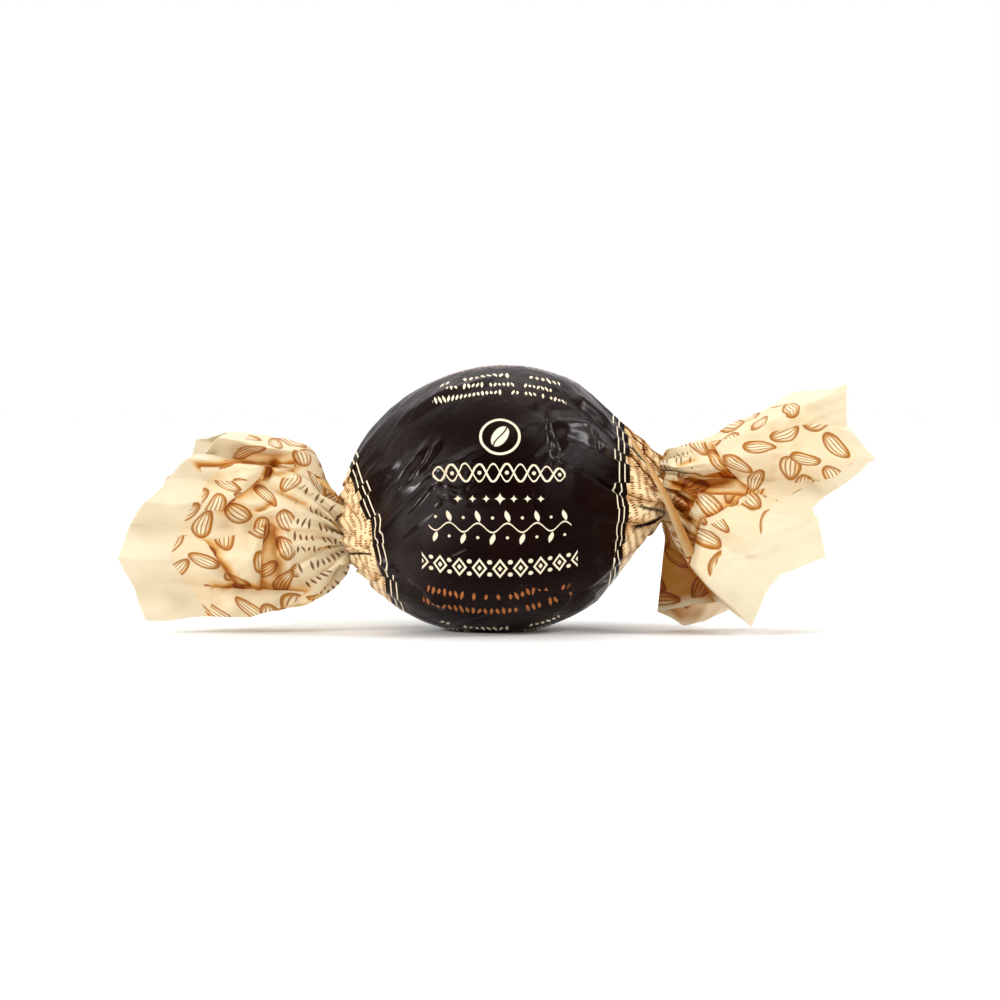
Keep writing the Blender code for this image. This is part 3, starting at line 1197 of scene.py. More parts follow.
    def side(self, neck: Neck, turns: Array) -> tuple[Array, Array, Array]:
        """One side's rows from the ball's middle to the neck, before its creases.

        Args:
            neck: The neck that the rows run to.
            turns: The columns' turns round the axis.

        Returns:
            The points, the arc length from the middle at each row, and how far each row is gathered:
            0 where the film leaves the ball, 1 at the neck, and less than 0 on the ball.
        """
        distances, radii = self.profile(neck)
        arc = np.concatenate(((0,), np.cumsum(np.hypot(np.diff(distances), np.diff(radii)))))
        gathered = (arc - arc[self.ball_rows]) / (arc[-1] - arc[self.ball_rows])
        middle_axis = unit(RIGHT_NECK.middle() - LEFT_NECK.middle())
        leaving = distances[self.ball_rows]
        rows = []
        for distance, radius in zip(distances, radii):
            share = min(1, distance / leaving) ** 2
            axis = unit((1 - share) * middle_axis + share * neck.axis())
            rows.append(ring(neck.side.value * distance * axis, axis, np.full(self.columns, radius), turns))
        return np.array(rows), arc, gathered

    def pleats(self, gathered: Array, turns: Array, side: Side) -> tuple[Array, Array]:
        """The cone's overlapping pleats: a sawtooth round the axis that winds on towards the neck.

        Each band rises in a straight line and drops at once to the next. Bands start at different
        places, some of them on the ball.

        Args:
            gathered: How far each row is gathered.
            turns: The columns' turns round the axis.
            side: Which end the cone is at.

        Returns:
            Heights, how many bands lie before each point, and from 0 to 1 how grown the pleats are.
        """
        swirl = {Side.LEFT: 0.30, Side.RIGHT: -0.16}[side]
        uneven = turns / (2 * np.pi) + 0.011 * np.sin(3 * turns + 0.7) + 0.008 * np.sin(7 * turns)
        phase = self.bands * (uneven[None, :] + swirl * np.clip(gathered, -0.6, 1)[:, None] ** 2)
        band = np.floor(phase)
        start = -0.05 - 0.85 * ((band * GOLDEN * 3.7) % 1.0)
        grown = np.clip((gathered[:, None] - start) / (1 - start), 0, 1)
        return self.band_depth * grown**0.8 * (phase - band - 0.5), phase, np.clip(2.5 * grown, 0, 1)

    def creased(self, grid: Array, gather: Array) -> Array:
        """The listed creases, faded out on the cones, and the flaps.

        Args:
            grid: The points, from the ball's middle.
            gather: How far each row is gathered.

        Returns:
            Heights.
        """
        on_ball = 1 - ramp(gather, 0.3, 0.9)[:, None]
        creases = sum(on_both_faces(crease.heights, grid) for crease in self.creases)
        return self.relief * creases * on_ball + sum(on_both_faces(flap.lifted, grid) for flap in self.flaps)

    def crumpled(self, grid: Array, arc: Array, turns: Array, busy: Array, streaks: Array) -> Array:
        """Facets where the film is crushed, slanting streaks, broad waves, and the pull of the twists.

        Args:
            grid: The points, from the ball's middle.
            arc: The arc length at each row.
            turns: The columns' turns round the axis.
            busy: How crushed the film is at each point.
            streaks: How streaked it is.

        Returns:
            Heights.
        """
        across, up = grid[..., 0], grid[..., 2]
        slanted = np.stack((0.77 * across - 0.64 * up, 0.15 * (across + up), 0 * up), axis=-1)
        around = (self.radius * np.cos(turns), self.radius * np.sin(turns), 0.2 * arc[:, None])
        pull = ramp(np.abs(arc), 9.0, 24.0)[:, None] ** 1.5
        height = (self.level_crumple + self.crushed_crumple * busy) * facets(grid, 5.0)
        height += self.streak_depth * streaks * crumple(slanted, 3.0, 1.3, 5)
        height += self.wave_depth * crumple(grid, 17, 9, 5)
        pulled = crumple(np.stack(np.broadcast_arrays(*around), axis=-1), 7.5, 3.6, 5)
        return height + self.pull_depth * pull * pulled

    def past_edge(self, arc: Array, turns: Array, height: Array) -> Array:
        """How far each point is past the dark film's printed edge, along the arc.

        The edge swings out over the top and in or out under the bottom. Its stretches are shifted and
        slanted by chance, and the pleats step it by their heights.

        Args:
            arc: The arc length at each row.
            turns: The columns' turns round the axis.
            height: How far each point stands off.

        Returns:
            The distances.
        """
        swings = (self.front_edge, self.top_swing, self.bottom_swing)
        front, top, bottom = (np.where(arc < 0, *pair)[:, None] for pair in swings)
        edge = front + top * np.maximum(np.cos(turns), 0) + bottom * np.maximum(-np.cos(turns), 0)
        part = self.breaks * (turns / (2 * np.pi) + 0.03 * np.sin(3 * turns) + 0.02 * np.sin(7 * turns + 1))
        stretch = np.floor(part)
        edge = edge + 0.9 * ((stretch * GOLDEN) % 1.0 - 0.5)
        edge = edge + 1.5 * (part - stretch - 0.5) * ((stretch * 0.4142) % 1.0 - 0.3)
        steps = 0.8 * np.clip(height / self.band_depth, -0.5, 0.5)
        return np.abs(arc)[:, None] - edge + steps

    def shadow_lines(self, grid: Array, past_edge: Array) -> Array:
        """Painted shadow lines: in the gaps between pleats and in the cuts where the edge steps.

        Args:
            grid: The points, from the ball's middle.
            past_edge: How far each point is past the dark film's edge.

        Returns:
            From 0 to 1 for each point.
        """
        gap = sum(on_both_faces(crease.heights, grid, -1.0) for crease in self.gaps)
        step = np.abs(np.roll(past_edge, -1, axis=1) - past_edge) > 0.3
        cuts = (step | np.roll(step, 1, axis=1)) * np.clip(2.2 - np.abs(past_edge + 0.6), 0, 1)
        return np.clip(gap + cuts, 0, 1)

    def label(self, grid: Array, girth: Array) -> Array:
        """The label's UV map, level and upright as seen from the front.

        Its X is the arc of the angle out of the middle plane, and its Y the arc of the angle up from
        the front, as the radius times the angle.

        Args:
            grid: The points, from the ball's middle.
            girth: The place round the ball at each column, with the first again as the last.

        Returns:
            The map: rows, columns + 1, 2.
        """
        size = np.linalg.norm(grid, axis=-1)
        seen = np.arctan2(grid[..., 2], grid @ FRONT)
        drift = (seen + girth[None, :-1] / self.radius + np.pi) % (2 * np.pi) - np.pi
        label = closed(np.stack((size * np.arcsin(grid[..., 0] / size), self.radius * drift), axis=-1))
        label[..., 1] -= girth
        return label

    def film(self) -> Film:
        """The whole wrap with its pleats, creases and printed edge.

        Returns:
            The closed sheet.
        """
        share = np.arange(self.columns) / self.columns
        turns = 2 * np.pi * (share - 0.25) + self.crowding * np.sin(2 * np.pi * share)
        left, left_arc, left_gather = self.side(LEFT_NECK, turns)
        right, right_arc, right_gather = self.side(RIGHT_NECK, turns)
        grid = np.concatenate((left[::-1], right[1:]))
        arc = np.concatenate((-left_arc[::-1], right_arc[1:]))
        gather = np.concatenate((left_gather[::-1], right_gather[1:]))
        left_pleats = self.pleats(left_gather, turns, Side.LEFT)
        right_pleats = self.pleats(right_gather, turns, Side.RIGHT)
        pleats, phase, grown = (np.concatenate((a[::-1], b[1:])) for a, b in zip(left_pleats, right_pleats))

        busy = sum(weight * hill(grid, *place) for weight, *place in self.crushed)
        streaks = hill(grid, *self.streaked)
        height = rounded(pleats, 6) + self.creased(grid, gather)
        height += self.crumpled(grid, arc, turns, busy, streaks)
        height = np.minimum(height, 0.75 + 0.2 * height)  # presses down what stands off furthest
        normals = outward(grid)
        points = grid + height[..., None] * normals
        # How deep each point lies in a valley, which the cream ends' material turns into painted shade.
        depth = ((blurred(points, 24) - points) * normals).sum(axis=-1)
        points = points + self.middle
        points[..., 2] = np.maximum(points[..., 2], self.lowest)

        past_edge = self.past_edge(arc, turns, height)
        girth = self.radius * (np.append(turns, turns[0] + 2 * np.pi) - np.pi / 2)
        sheet = np.stack(np.broadcast_arrays(arc[:, None], -girth[None, :]), axis=-1)
        phase = np.concatenate((phase, phase[:, :1] + self.bands), axis=1)
        poles = np.maximum(ramp(grid[..., 2], 10, 16), ramp(-grid[..., 2], 9, 15))
        return Film(
            name="ball_wrap",
            points=points,
            first_pole=self.middle + LEFT_NECK.middle() + self.cap * LEFT_NECK.axis(),
            last_pole=self.middle + RIGHT_NECK.middle() - self.cap * RIGHT_NECK.axis(),
            maps={
                "sheet": sheet,
                "label": self.label(grid, girth),
                "pleat": np.stack((phase, closed(grown)), axis=-1),
            },
            marks={
                "past_edge": past_edge,
                "valley": depth,
                "pleat_line": self.shadow_lines(grid, past_edge),
                "crushed": np.clip(1.3 * np.maximum(busy, streaks) + 0.4 * poles, 0, 1),
            },
        )


@dataclass
class Tail:
    """One end of the film: folds that fan out from the neck to the cut edge, on both its sides."""

    name: str
    ball_middle: Array
    neck: Neck
    folds: tuple[Fold, ...]
    first_fold: int  # where the first fold leaves the neck, in steps round it from the top
    knee: float  # how hard a flared fold turns
    flaps: tuple[Flap, ...]
    creases: tuple[Crease, ...]
    fan_angle: float  # radians that the sheet covers when it is laid out flat as a fan
    fan_start: float  # that fan's inner radius
    columns: int = 440
    rows: int = 110  # on each side of the film
    crowding: float = 0.35  # how much closer the front columns are
    wall: float = 0.12
    caps: tuple[float, float] = (-2.6, -2.0)  # the closed end's middles along the axis, outer and inner side
    pleat_waves: tuple[tuple[float, float, float, float], ...] = (
        (2.2, 6.5, 0.62, 0.0),
        (4.2, 11.0, 0.80, 2.0),
        (10.0, 24.0, 0.55, 4.0),
    )  # of the pleats at the neck: size, reach, depth and shift
    pleat_depth: float = 0.15
    warp: float = 0.40  # depth of the broad crumple
    small_crumple: float = 0.16  # depth of the facets
    seams: int = 5  # folds from the top back to the seam at the back

    def fold_curves(self, shares: Array) -> Array:
        """The folds at shares 0 to 1 of their lengths: rows, folds, 3.

        A fold is a weighted quadratic curve from the pleated neck to the cut edge. Its control point
        is its bend, if it has one. Otherwise it is the middle of the straight line when the fold has
        no flare, and with a flare of 1 it lies out from the neck, level with the cut edge. The knee
        is the control point's extra weight.

        Args:
            shares: How far along the folds each row is.

        Returns:
            The folds' points.
        """
        folds = len(self.folds)
        middle = self.neck.middle()
        turns = 2 * np.pi * (np.arange(folds) + self.first_fold) / folds
        ridge = 1 + self.pleat_depth * np.cos(np.pi * (np.arange(folds) + self.first_fold))
        start = ring(middle, self.neck.axis(), self.neck.radius * ridge, turns)
        side = self.neck.side.value
        end = middle + np.array([(side * f.reach, -f.front, f.rise) for f in self.folds])
        flare = np.array([f.flare for f in self.folds])
        control = start + (end - start) * 0.5 * np.stack((1 - flare, 1 + flare, 1 + flare), axis=-1)
        control += 2 * np.array([f.bow for f in self.folds])[:, None] * unit((end - middle) * (0, 1, 1))
        for i, fold in enumerate(self.folds):
            if fold.bend:
                reach, rise, front = fold.bend
                control[i] = middle + np.array((side * reach, -front, rise))
        knee = np.array([f.knee or self.knee for f in self.folds])[:, None]
        s = shares[:, None, None]
        pull = 2 * s * (1 - s) * knee
        return ((1 - s) ** 2 * start + pull * control + s**2 * end) / ((1 - s) ** 2 + pull + s**2)

    def between_folds(self, at_folds: Array) -> Array:
        """Values at the folds, in straight lines from fold to fold, starting at the back.

        The columns are closer together on the front folds, which are the middle ones.

        Args:
            at_folds: Rows, folds, numbers.

        Returns:
            Rows, columns, numbers.
        """
        folds = len(self.folds)
        share = np.arange(folds) / folds
        crowd = 1.0 + self.crowding * np.cos(2 * np.pi * (share + 0.5 / folds - 0.5))
        starts = np.concatenate(((0,), np.cumsum(crowd)))
        at = np.interp(np.arange(self.columns) / self.columns, starts / starts[-1], np.arange(folds + 1))
        fold = np.floor(at).astype(int)
        share = (at - fold)[:, None]
        at_folds = np.roll(at_folds, self.seams, axis=1)
        return at_folds[:, fold] * (1 - share) + at_folds[:, (fold + 1) % folds] * share

    def eased(self, at_folds: list[float], times: int) -> Array:
        """A number for each column from one at each fold, in straight lines that are then rounded."""
        return rounded(self.between_folds(np.array(at_folds)[None, :, None]), times)[0, :, 0]

    def wrinkles(self, length: Array) -> Array:
        """Pleats that run out from the neck: a crumple of a sheet that is squeezed round the neck.

        Each pleat's ridge is straight from the neck, and they grow wider and fewer with distance.

        Args:
            length: How far each point is from the neck along the film.

        Returns:
            Heights.
        """
        turn = 2 * np.pi * np.arange(self.columns) / self.columns
        radius = 60 / (2 * np.pi)
        total = np.zeros(length.shape)
        for size, reach, depth, shift in self.pleat_waves:
            around = (radius * np.cos(turn), radius * np.sin(turn), 0.16 * length + shift)
            place = np.stack(np.broadcast_arrays(*around), axis=-1)
            fade = np.clip(1 - length / reach, 0, 1) * np.clip(0.35 + length / 2.5, 0, 1)
            total += depth * fade * crumple(place, size, 0.5 * size, 4, shift)
        return total

    def film(self) -> Film:
        """Both sides of the tail as one closed sheet.

        Returns:
            The sheet, its rows from left to right.
        """
        side = self.neck.side.value
        shares = np.linspace(0, 1, self.rows) ** 1.15
        grid = rounded(self.between_folds(self.fold_curves(shares)), 1)
        steps = np.linalg.norm(np.diff(grid, axis=0), axis=-1)
        length = np.concatenate((np.zeros((1, self.columns)), np.cumsum(steps, axis=0)))
        length = rounded(length, 12)
        normals = unit(rounded(outward(grid) * side, 4))
        wrinkles = self.wrinkles(length)
        grid = grid + wrinkles[..., None] * normals

        push, tents, marks = self.pushed(grid, normals)
        world = grid + self.ball_middle
        warp = self.warp * np.minimum(1, length / 10)
        small = self.small_crumple * np.minimum(1, length / 6)
        push += warp * crumple(world, 15, 7, 5) + small * facets(grid, 6.5)
        lift = warp * crumple(world, 15, 7, 5, 0.5) + 0.5 * small * facets(grid, 6.5, 0.3)
        grid = grid + push[..., None] * FRONT + lift[..., None] * UP
        normals = unit(rounded(outward(grid) * side, 2))
        points = np.concatenate((grid, (grid - self.wall * normals)[::-1]))

        past_margin = length[-1] - length - self.eased([f.margin for f in self.folds], 20)
        # How deep each point lies in a valley, also among the pleats at the neck and in the creases' valleys,
        # for the painted shade there; the pocket's painted shade fades out just before the cut edge.
        depth = ((blurred(grid, 30) - grid) * normals).sum(axis=-1) * ramp(past_margin, -2.0, 6.0)
        depth += np.maximum(-1.6 * wrinkles - 0.48, 0) - np.minimum(0.8 * tents, 0)
        pocket = self.eased([f.pocket for f in self.folds], 4) * ramp(length[-1] - length, 0.3, 1.6)
        # Marks for painted shade: the valleys, the inner side's hollow, darkest at the neck, and the pockets.
        marks |= {
            "past_margin": doubled(past_margin),
            "valley": doubled(depth, -0.3),
            "hollow": np.concatenate((0 * length, np.clip(1 - length[::-1] / 20, 0, 1))),
            "pocket": doubled(pocket),
        }
        near, far = (self.neck.middle() + self.ball_middle + k * side * self.neck.axis() for k in self.caps)
        maps = self.maps(grid, length)
        if self.neck.side is Side.RIGHT:
            return Film(self.name, points + self.ball_middle, near, far, maps, marks)
        maps, marks = ({name: values[::-1] for name, values in each.items()} for each in (maps, marks))
        return Film(self.name, points[::-1] + self.ball_middle, far, near, maps, marks)

    def pushed(self, grid: Array, normals: Array) -> tuple[Array, Array, dict[str, Array]]:
        """How far the flaps and creases push the front of the film forward.

        Args:
            grid: The outer side's points, from the ball's middle.
            normals: The directions out of it.

        Returns:
            The push, the creases' heights alone, and the flaps' marks: how far each point is inside
            their edges, and how folded the nearest edge is.
        """
        reach = (grid[..., 0] - self.neck.middle()[0]) * self.neck.side.value
        rise = grid[..., 2] - self.neck.middle()[2]
        at_front = ramp(grid @ FRONT, 0.3, 2.0) * ramp(normals @ FRONT, -0.3, 0.1)
        outside = np.full(grid.shape[:2], -20.0)
        push = np.zeros(grid.shape[:2])
        marks = {}
        for i, flap in enumerate(self.flaps):
            heights, off, folded = flap.heights(reach, rise)
            push += heights * at_front
            marks[f"flap_{i}"] = np.concatenate((np.where(at_front > 0.3, off, -20.0), outside))
            marks[f"fold_{i}"] = doubled(folded * at_front, 0.0)
        tents = sum(crease.heights(reach, rise) for crease in self.creases) * at_front
        return blurred(push + tents, 2), tents, marks

    def maps(self, grid: Array, length: Array) -> dict[str, Array]:
        """The UV maps: the sheet laid out flat as a fan, for the beans, and length and girth, for the marks.

        Args:
            grid: The outer side's points.
            length: How far each of them is from the neck along the film.

        Returns:
            The maps for both sides.
        """
        widths = np.linalg.norm(np.roll(grid, -1, axis=1) - grid, axis=-1)[self.rows // 2 :].mean(axis=0)
        girth_turn = np.concatenate(((0,), np.cumsum(rounded(widths[None], 6)[0]))) / widths.sum() - 0.5
        wrapped = closed(length)
        radius = self.fan_start + wrapped
        angle = self.fan_angle * girth_turn
        fan = np.stack((radius * np.sin(angle), radius * np.cos(angle)), axis=-1)
        sheet = np.stack((wrapped, np.broadcast_to(60 * girth_turn, wrapped.shape)), axis=-1)
        return {"fan": doubled(fan), "sheet": doubled(sheet)}


LEFT_FOLDS = (
    Fold(16.0, 14.2, -2.6, bend=(3.8, 13.0, -1.8), knee=4.0, margin=3.0),
    Fold(17.0, 12.7, 2.6, bend=(3.8, 12.0, 2.0), knee=4.0, margin=3.5),
    Fold(19.0, 10.8, 0.8, bend=(4.2, 9.8, 1.6), margin=4.0),
    Fold(20.6, 10.2, 5.4, flare=0.60, margin=4.5),
    Fold(23.4, 7.4, 5.0, flare=0.60, margin=5.5),
    Fold(26.4, 4.8, 7.8, flare=0.60, margin=6.5),
    Fold(28.8, 1.2, 5.4, flare=0.60, margin=7.0),
    Fold(30.2, -3.3, 7.6, flare=0.60, margin=7.0),
    Fold(28.3, -7.6, 4.4, flare=0.70, margin=7.5),
    Fold(26.6, -12.1, 6.0, flare=0.80, margin=8.5),
    Fold(21.0, -9.6, 1.4, flare=0.85, margin=5.0),
    Fold(18.0, -10.0, -3.4, flare=0.80, margin=3.0),
    Fold(24.0, -6.8, -3.4, flare=0.70),
    Fold(26.0, -5.4, -7.8, flare=0.60),
    Fold(26.5, -2.0, -4.4, flare=0.60),
    Fold(28.0, 1.0, -8.4, flare=0.55),
    Fold(25.5, 4.0, -4.6, flare=0.60),
    Fold(25.2, 7.2, -8.0, flare=0.60),
    Fold(21.5, 8.8, -4.4, flare=0.60, margin=4.0),
    Fold(20.8, 12.3, -6.4, bend=(4.0, 11.6, -5.0), knee=3.4, margin=3.0),
)

RIGHT_FOLDS = (
    Fold(25.5, 14.1, -1.5, flare=-0.10, margin=5.5),
    Fold(25.4, 7.8, 0.4, flare=0.00, margin=3.5),
    Fold(25.6, 8.0, 4.6, flare=0.10, bow=2.2, margin=1.6),
    Fold(28.8, 3.9, 5.0, flare=0.10, bow=1.2, margin=2.2),
    Fold(24.2, 0.4, 2.4, flare=0.20, margin=3.4),
    Fold(20.2, -2.6, 4.4, flare=0.20, margin=4.6),
    Fold(20.8, -4.4, 7.8, flare=0.20, margin=7.0),
    Fold(21.8, -9.4, 9.4, flare=0.20, margin=9.5),
    Fold(15.8, -11.3, 9.4, flare=0.20, margin=9.0),
    Fold(13.4, -14.7, 10.4, bend=(5.6, -6.6, 8.4), knee=1.6, margin=8.5),
    Fold(11.5, -19.2, 9.4, bend=(2.9, -10.4, 8.6), knee=4.0, margin=9.0),
    Fold(8.8, -16.0, 2.8, flare=0.30, margin=1.0, pocket=1.0),
    Fold(-0.8, -17.2, 0.2, flare=0.30, margin=0.5, pocket=1.0),
    Fold(3.0, -19.4, -1.8, flare=0.60, margin=2.0, pocket=1.0),
    Fold(9.4, -17.6, -4.8, flare=0.60, margin=4.0, pocket=0.1),
    Fold(14.0, -11.5, -6.6, flare=0.35),
    Fold(20.0, -4.4, -4.6, flare=0.30),
    Fold(21.5, 1.0, -8.6, flare=0.30),
    Fold(21.0, 6.0, -4.8, flare=0.20),
    Fold(19.3, 13.1, -6.0, flare=0.05),
)

LEFT_FLAPS = (
    Flap(
        corners=((10.5, 8.2), (16.1, 3.0), (18.8, 3.4), (18.8, 9.5), (10.6, 10.2)),
        lifts=(1.5, 1.7, 0.7), fades=(0.9, 1.5, 4.0, 2.0, 0.9), slip=(2.6, 1.2),
    ),
    Flap(
        corners=((10.5, 0.6), (11.2, -7.7), (14.8, -6.6), (18.4, -1.1)), lifts=(1.9, 2.0, 0.9),
        fades=(0.9, 0.9, 1.2, 2.2), slip=(-2.2, 3.0),
    ),
    Flap(
        corners=((18.4, -1.1), (14.6, -6.9), (20.0, -7.5), (25.0, -5.0), (22.0, 0.0)),
        lifts=(0.9, 1.5, 0.6), fades=(0.9, 1.0, 3.0, 3.0, 3.0), slip=(1.5, -1.0),
    ),
    Flap(
        corners=((5.0, -7.9), (8.0, -11.5), (18.0, -11.5), (17.5, -7.3)), lifts=(0.9, 0.2, 0.2),
        fades=(2.0, 0.9, 3.0, 0.9), slip=(0.0, 2.5),
    ),
    Flap(
        corners=((6.4, 7.6), (18.6, 7.0), (19.4, 9.0), (15.0, 9.4), (9.7, 10.3), (6.6, 9.8)),
        lifts=(0.2, 0.1, 1.0), fades=(3.0, 3.0, 0.9, 0.9, 0.9, 2.5), slip=(0.0, 2.5),
        shade_reach=2.2, shade=1.5,
    ),
)

LEFT_CREASES = (
    Crease((8.2, -8.2), (9.4, 2.6), -0.9, 1.6, 1.6),
    Crease((16.4, 14.0), (23.4, 7.6), 0.7, 1.2, 4.0),
    Crease((22.2, 8.8), (29.6, 1.0), 0.8, 4.0, 1.2),
    Crease((30.4, -3.2), (17.4, -1.6), 0.6, 1.0, 3.6),
    Crease((29.0, -2.6), (15.0, -6.4), 0.7, 3.6, 1.0),
    Crease((22.9, 8.0), (21.8, -1.0), 0.5, 1.0, 3.0),
    Crease((26.0, -4.6), (23.8, -12.4), 0.6, 1.0, 3.4),
    Crease((18.9, 4.4), (17.4, -1.4), 0.5, 2.0, 1.2),
    Crease((10.4, 8.2), (1.2, 3.4), 1.0, 1.8, 0.7, bow=0.4),
    Crease((9.8, 6.4), (3.2, 3.6), -1.0, 0.5, 1.1, bow=0.3),
    Crease((8.8, 10.8), (10.8, 7.0), -1.7, 0.8, 1.1),
    Crease((10.2, 7.6), (5.4, 9.0), -0.7, 0.8, 0.8),
    Crease((12.2, 2.4), (8.6, 4.8), -0.9, 0.6, 0.9),
    Crease((9.6, 1.0), (2.6, 0.8), 0.8, 0.5, 2.0),
    Crease((9.2, -2.6), (2.8, -0.6), 0.7, 1.0, 1.0),
    Crease((8.0, -6.2), (2.2, -2.4), 0.7, 1.8, 0.6, bow=0.3),
    Crease((17.0, 10.4), (5.6, 11.6), -0.8, 1.0, 1.2),
    Crease((16.4, 12.4), (5.2, 11.9), 0.8, 1.0, 1.2),
)

RIGHT_FLAPS = (
    Flap(
        corners=((1.4, 0.9), (8.8, 2.5), (6.6, 6.6), (2.4, 5.6)), lifts=(0.5, 1.0, 0.3),
        fades=(0.8, 2.0, 2.0, 2.0), slip=(1.2, 0.8), shade_reach=1.5, shade=1.5,
    ),
    Flap(
        corners=((3.3, -3.6), (5.4, -5.0), (12.0, -1.6), (8.4, -1.0), (4.8, -0.2)),
        lifts=(1.1, 0.9, 0.2), fades=(2.0, 2.0, 0.8, 0.8, 0.8), slip=(0.6, 3.1), shade_reach=1.2,
        shade=1.5,
    ),
    Flap(
        corners=((5.1, -4.0), (3.2, -10.9), (11.3, -21.5), (24.0, -10.0), (22.0, -3.4), (12.0, -1.1)),
        lifts=(1.6, 2.0, 1.0), fades=(0.8, 0.8, 1.0, 1.0, 4.0, 0.8), slip=(1.8, -2.2),
    ),
    Flap(
        corners=((9.2, 2.1), (12.2, -1.0), (23.0, 1.4), (28.0, 5.6), (23.4, 8.9), (14.0, 8.3), (6.6, 6.4)),
        lifts=(1.0, 1.1, 0.1), fades=(0.8, 3.0, 6.0, 3.0, 0.9, 2.0, 0.8), slip=(-1.2, 2.4),
    ),
)

RIGHT_CREASES = (
    Crease((1.2, 0.2), (10.5, 0.6), -1.0, 1.6, 1.1, bow=0.3),
    Crease((1.0, -1.6), (4.2, -5.0), -1.5, 1.0, 0.9),
    Crease((1.2, -0.6), (4.6, -2.4), -1.0, 0.5, 0.5),
    Crease((1.2, 2.8), (5.0, 4.0), -0.7, 0.4, 0.5),
    Crease((2.2, -4.6), (3.0, -9.6), -1.2, 1.2, 0.8),
    Crease((2.4, 5.8), (7.4, 7.6), 0.5, 0.8, 1.4),
    Crease((17.4, 8.7), (25.6, 7.7), 0.7, 0.5, 2.8, bow=0.3),
    Crease((12.2, -1.0), (21.0, 2.6), 0.5, 3.0, 3.0),
    Crease((15.4, 4.0), (19.6, 7.4), -0.15, 1.6, 1.6),
    Crease((6.0, -6.8), (13.0, -9.0), 0.4, 2.5, 2.5),
    Crease((4.6, -10.8), (12.6, -16.8), 0.3, 3.0, 3.0),
)


@dataclass
class OverlapStrip:
    """The film's folded side edge, which runs as a narrow strip over the right neck into the tail."""

    middle: Array
    route: tuple[tuple[float, float, float], ...] = (
        (17.2, -3.4, 9.4),
        (20.6, -5.6, 4.4),
        (22.8, -5.4, 0.2),
        (24.6, -6.4, -4.2),
        (26.4, -7.6, -8.4),
    )
    width: float = 1.7
    thickness: float = 0.22
    rows: int = 140
    columns: int = 24
    rounding: int = 260  # how often the route's points are averaged with their neighbours

    def film(self) -> Film:
        """A flat tube along a smooth route, wider towards the tail and pinched at its ends.

        Its cross-section is an ellipse whose height has the power 0.7 of a sine, for a folded edge.

        Returns:
            The closed sheet.
        """
        knots = np.array(self.route)
        at = np.linspace(0, len(knots) - 1, self.rows)
        spread = np.array([np.interp(at, np.arange(len(knots)), knots[:, k]) for k in range(3)]).T
        for _ in range(self.rounding):
            spread[1:-1] = 0.5 * spread[1:-1] + 0.25 * (spread[:-2] + spread[2:])
        along = unit(np.gradient(spread, axis=0))
        centre = np.array((1.0, 0.0, 0.0)) * spread[:, :1]
        out = unit(spread - centre - along * ((spread - centre) * along).sum(axis=-1, keepdims=True))
        across = np.cross(along, out)
        share = np.linspace(0, 1, self.rows)[:, None]
        pinch = np.clip(12 * np.minimum(share, 1 - share), 0.15, 1) ** 0.5
        wide = self.width * (0.36 + 0.64 * share**1.5) * pinch
        turn = 2 * np.pi * np.arange(self.columns) / self.columns
        flat = np.sign(np.sin(turn)) * np.abs(np.sin(turn)) ** 0.7
        points = spread[:, None] + (wide / 2 * np.cos(turn))[..., None] * across[:, None]
        points = points + (self.thickness / 2 * flat)[None, :, None] * out[:, None]
        length = np.concatenate(((0,), np.cumsum(np.linalg.norm(np.diff(spread, axis=0), axis=-1))))
        sheet = np.stack(np.broadcast_arrays(length[:, None], 3.0 * np.arange(self.columns + 1)), axis=-1)
        # Painted shade across the strip, darkest along one edge; through the hollow and pocket marks it also
        # darkens the whole strip.
        shade = np.broadcast_to(0.35 - 0.65 * np.cos(turn), points.shape[:2])
        return Film(
            name="overlap_strip",
            points=points + self.middle,
            first_pole=spread[0] + self.middle,
            last_pole=spread[-1] + self.middle,
            maps={"sheet": sheet, "fan": sheet},
            marks={
                "past_margin": np.full(points.shape[:2], -1.0),
                "valley": shade,
                "hollow": np.clip(0.6 + 0.4 * shade, 0, 1),
                "pocket": np.clip(0.15 + 0.6 * shade, 0, 1),
            },
        )


# ---------------------------------------------------------------------------------------------------
# The studio
# ---------------------------------------------------------------------------------------------------


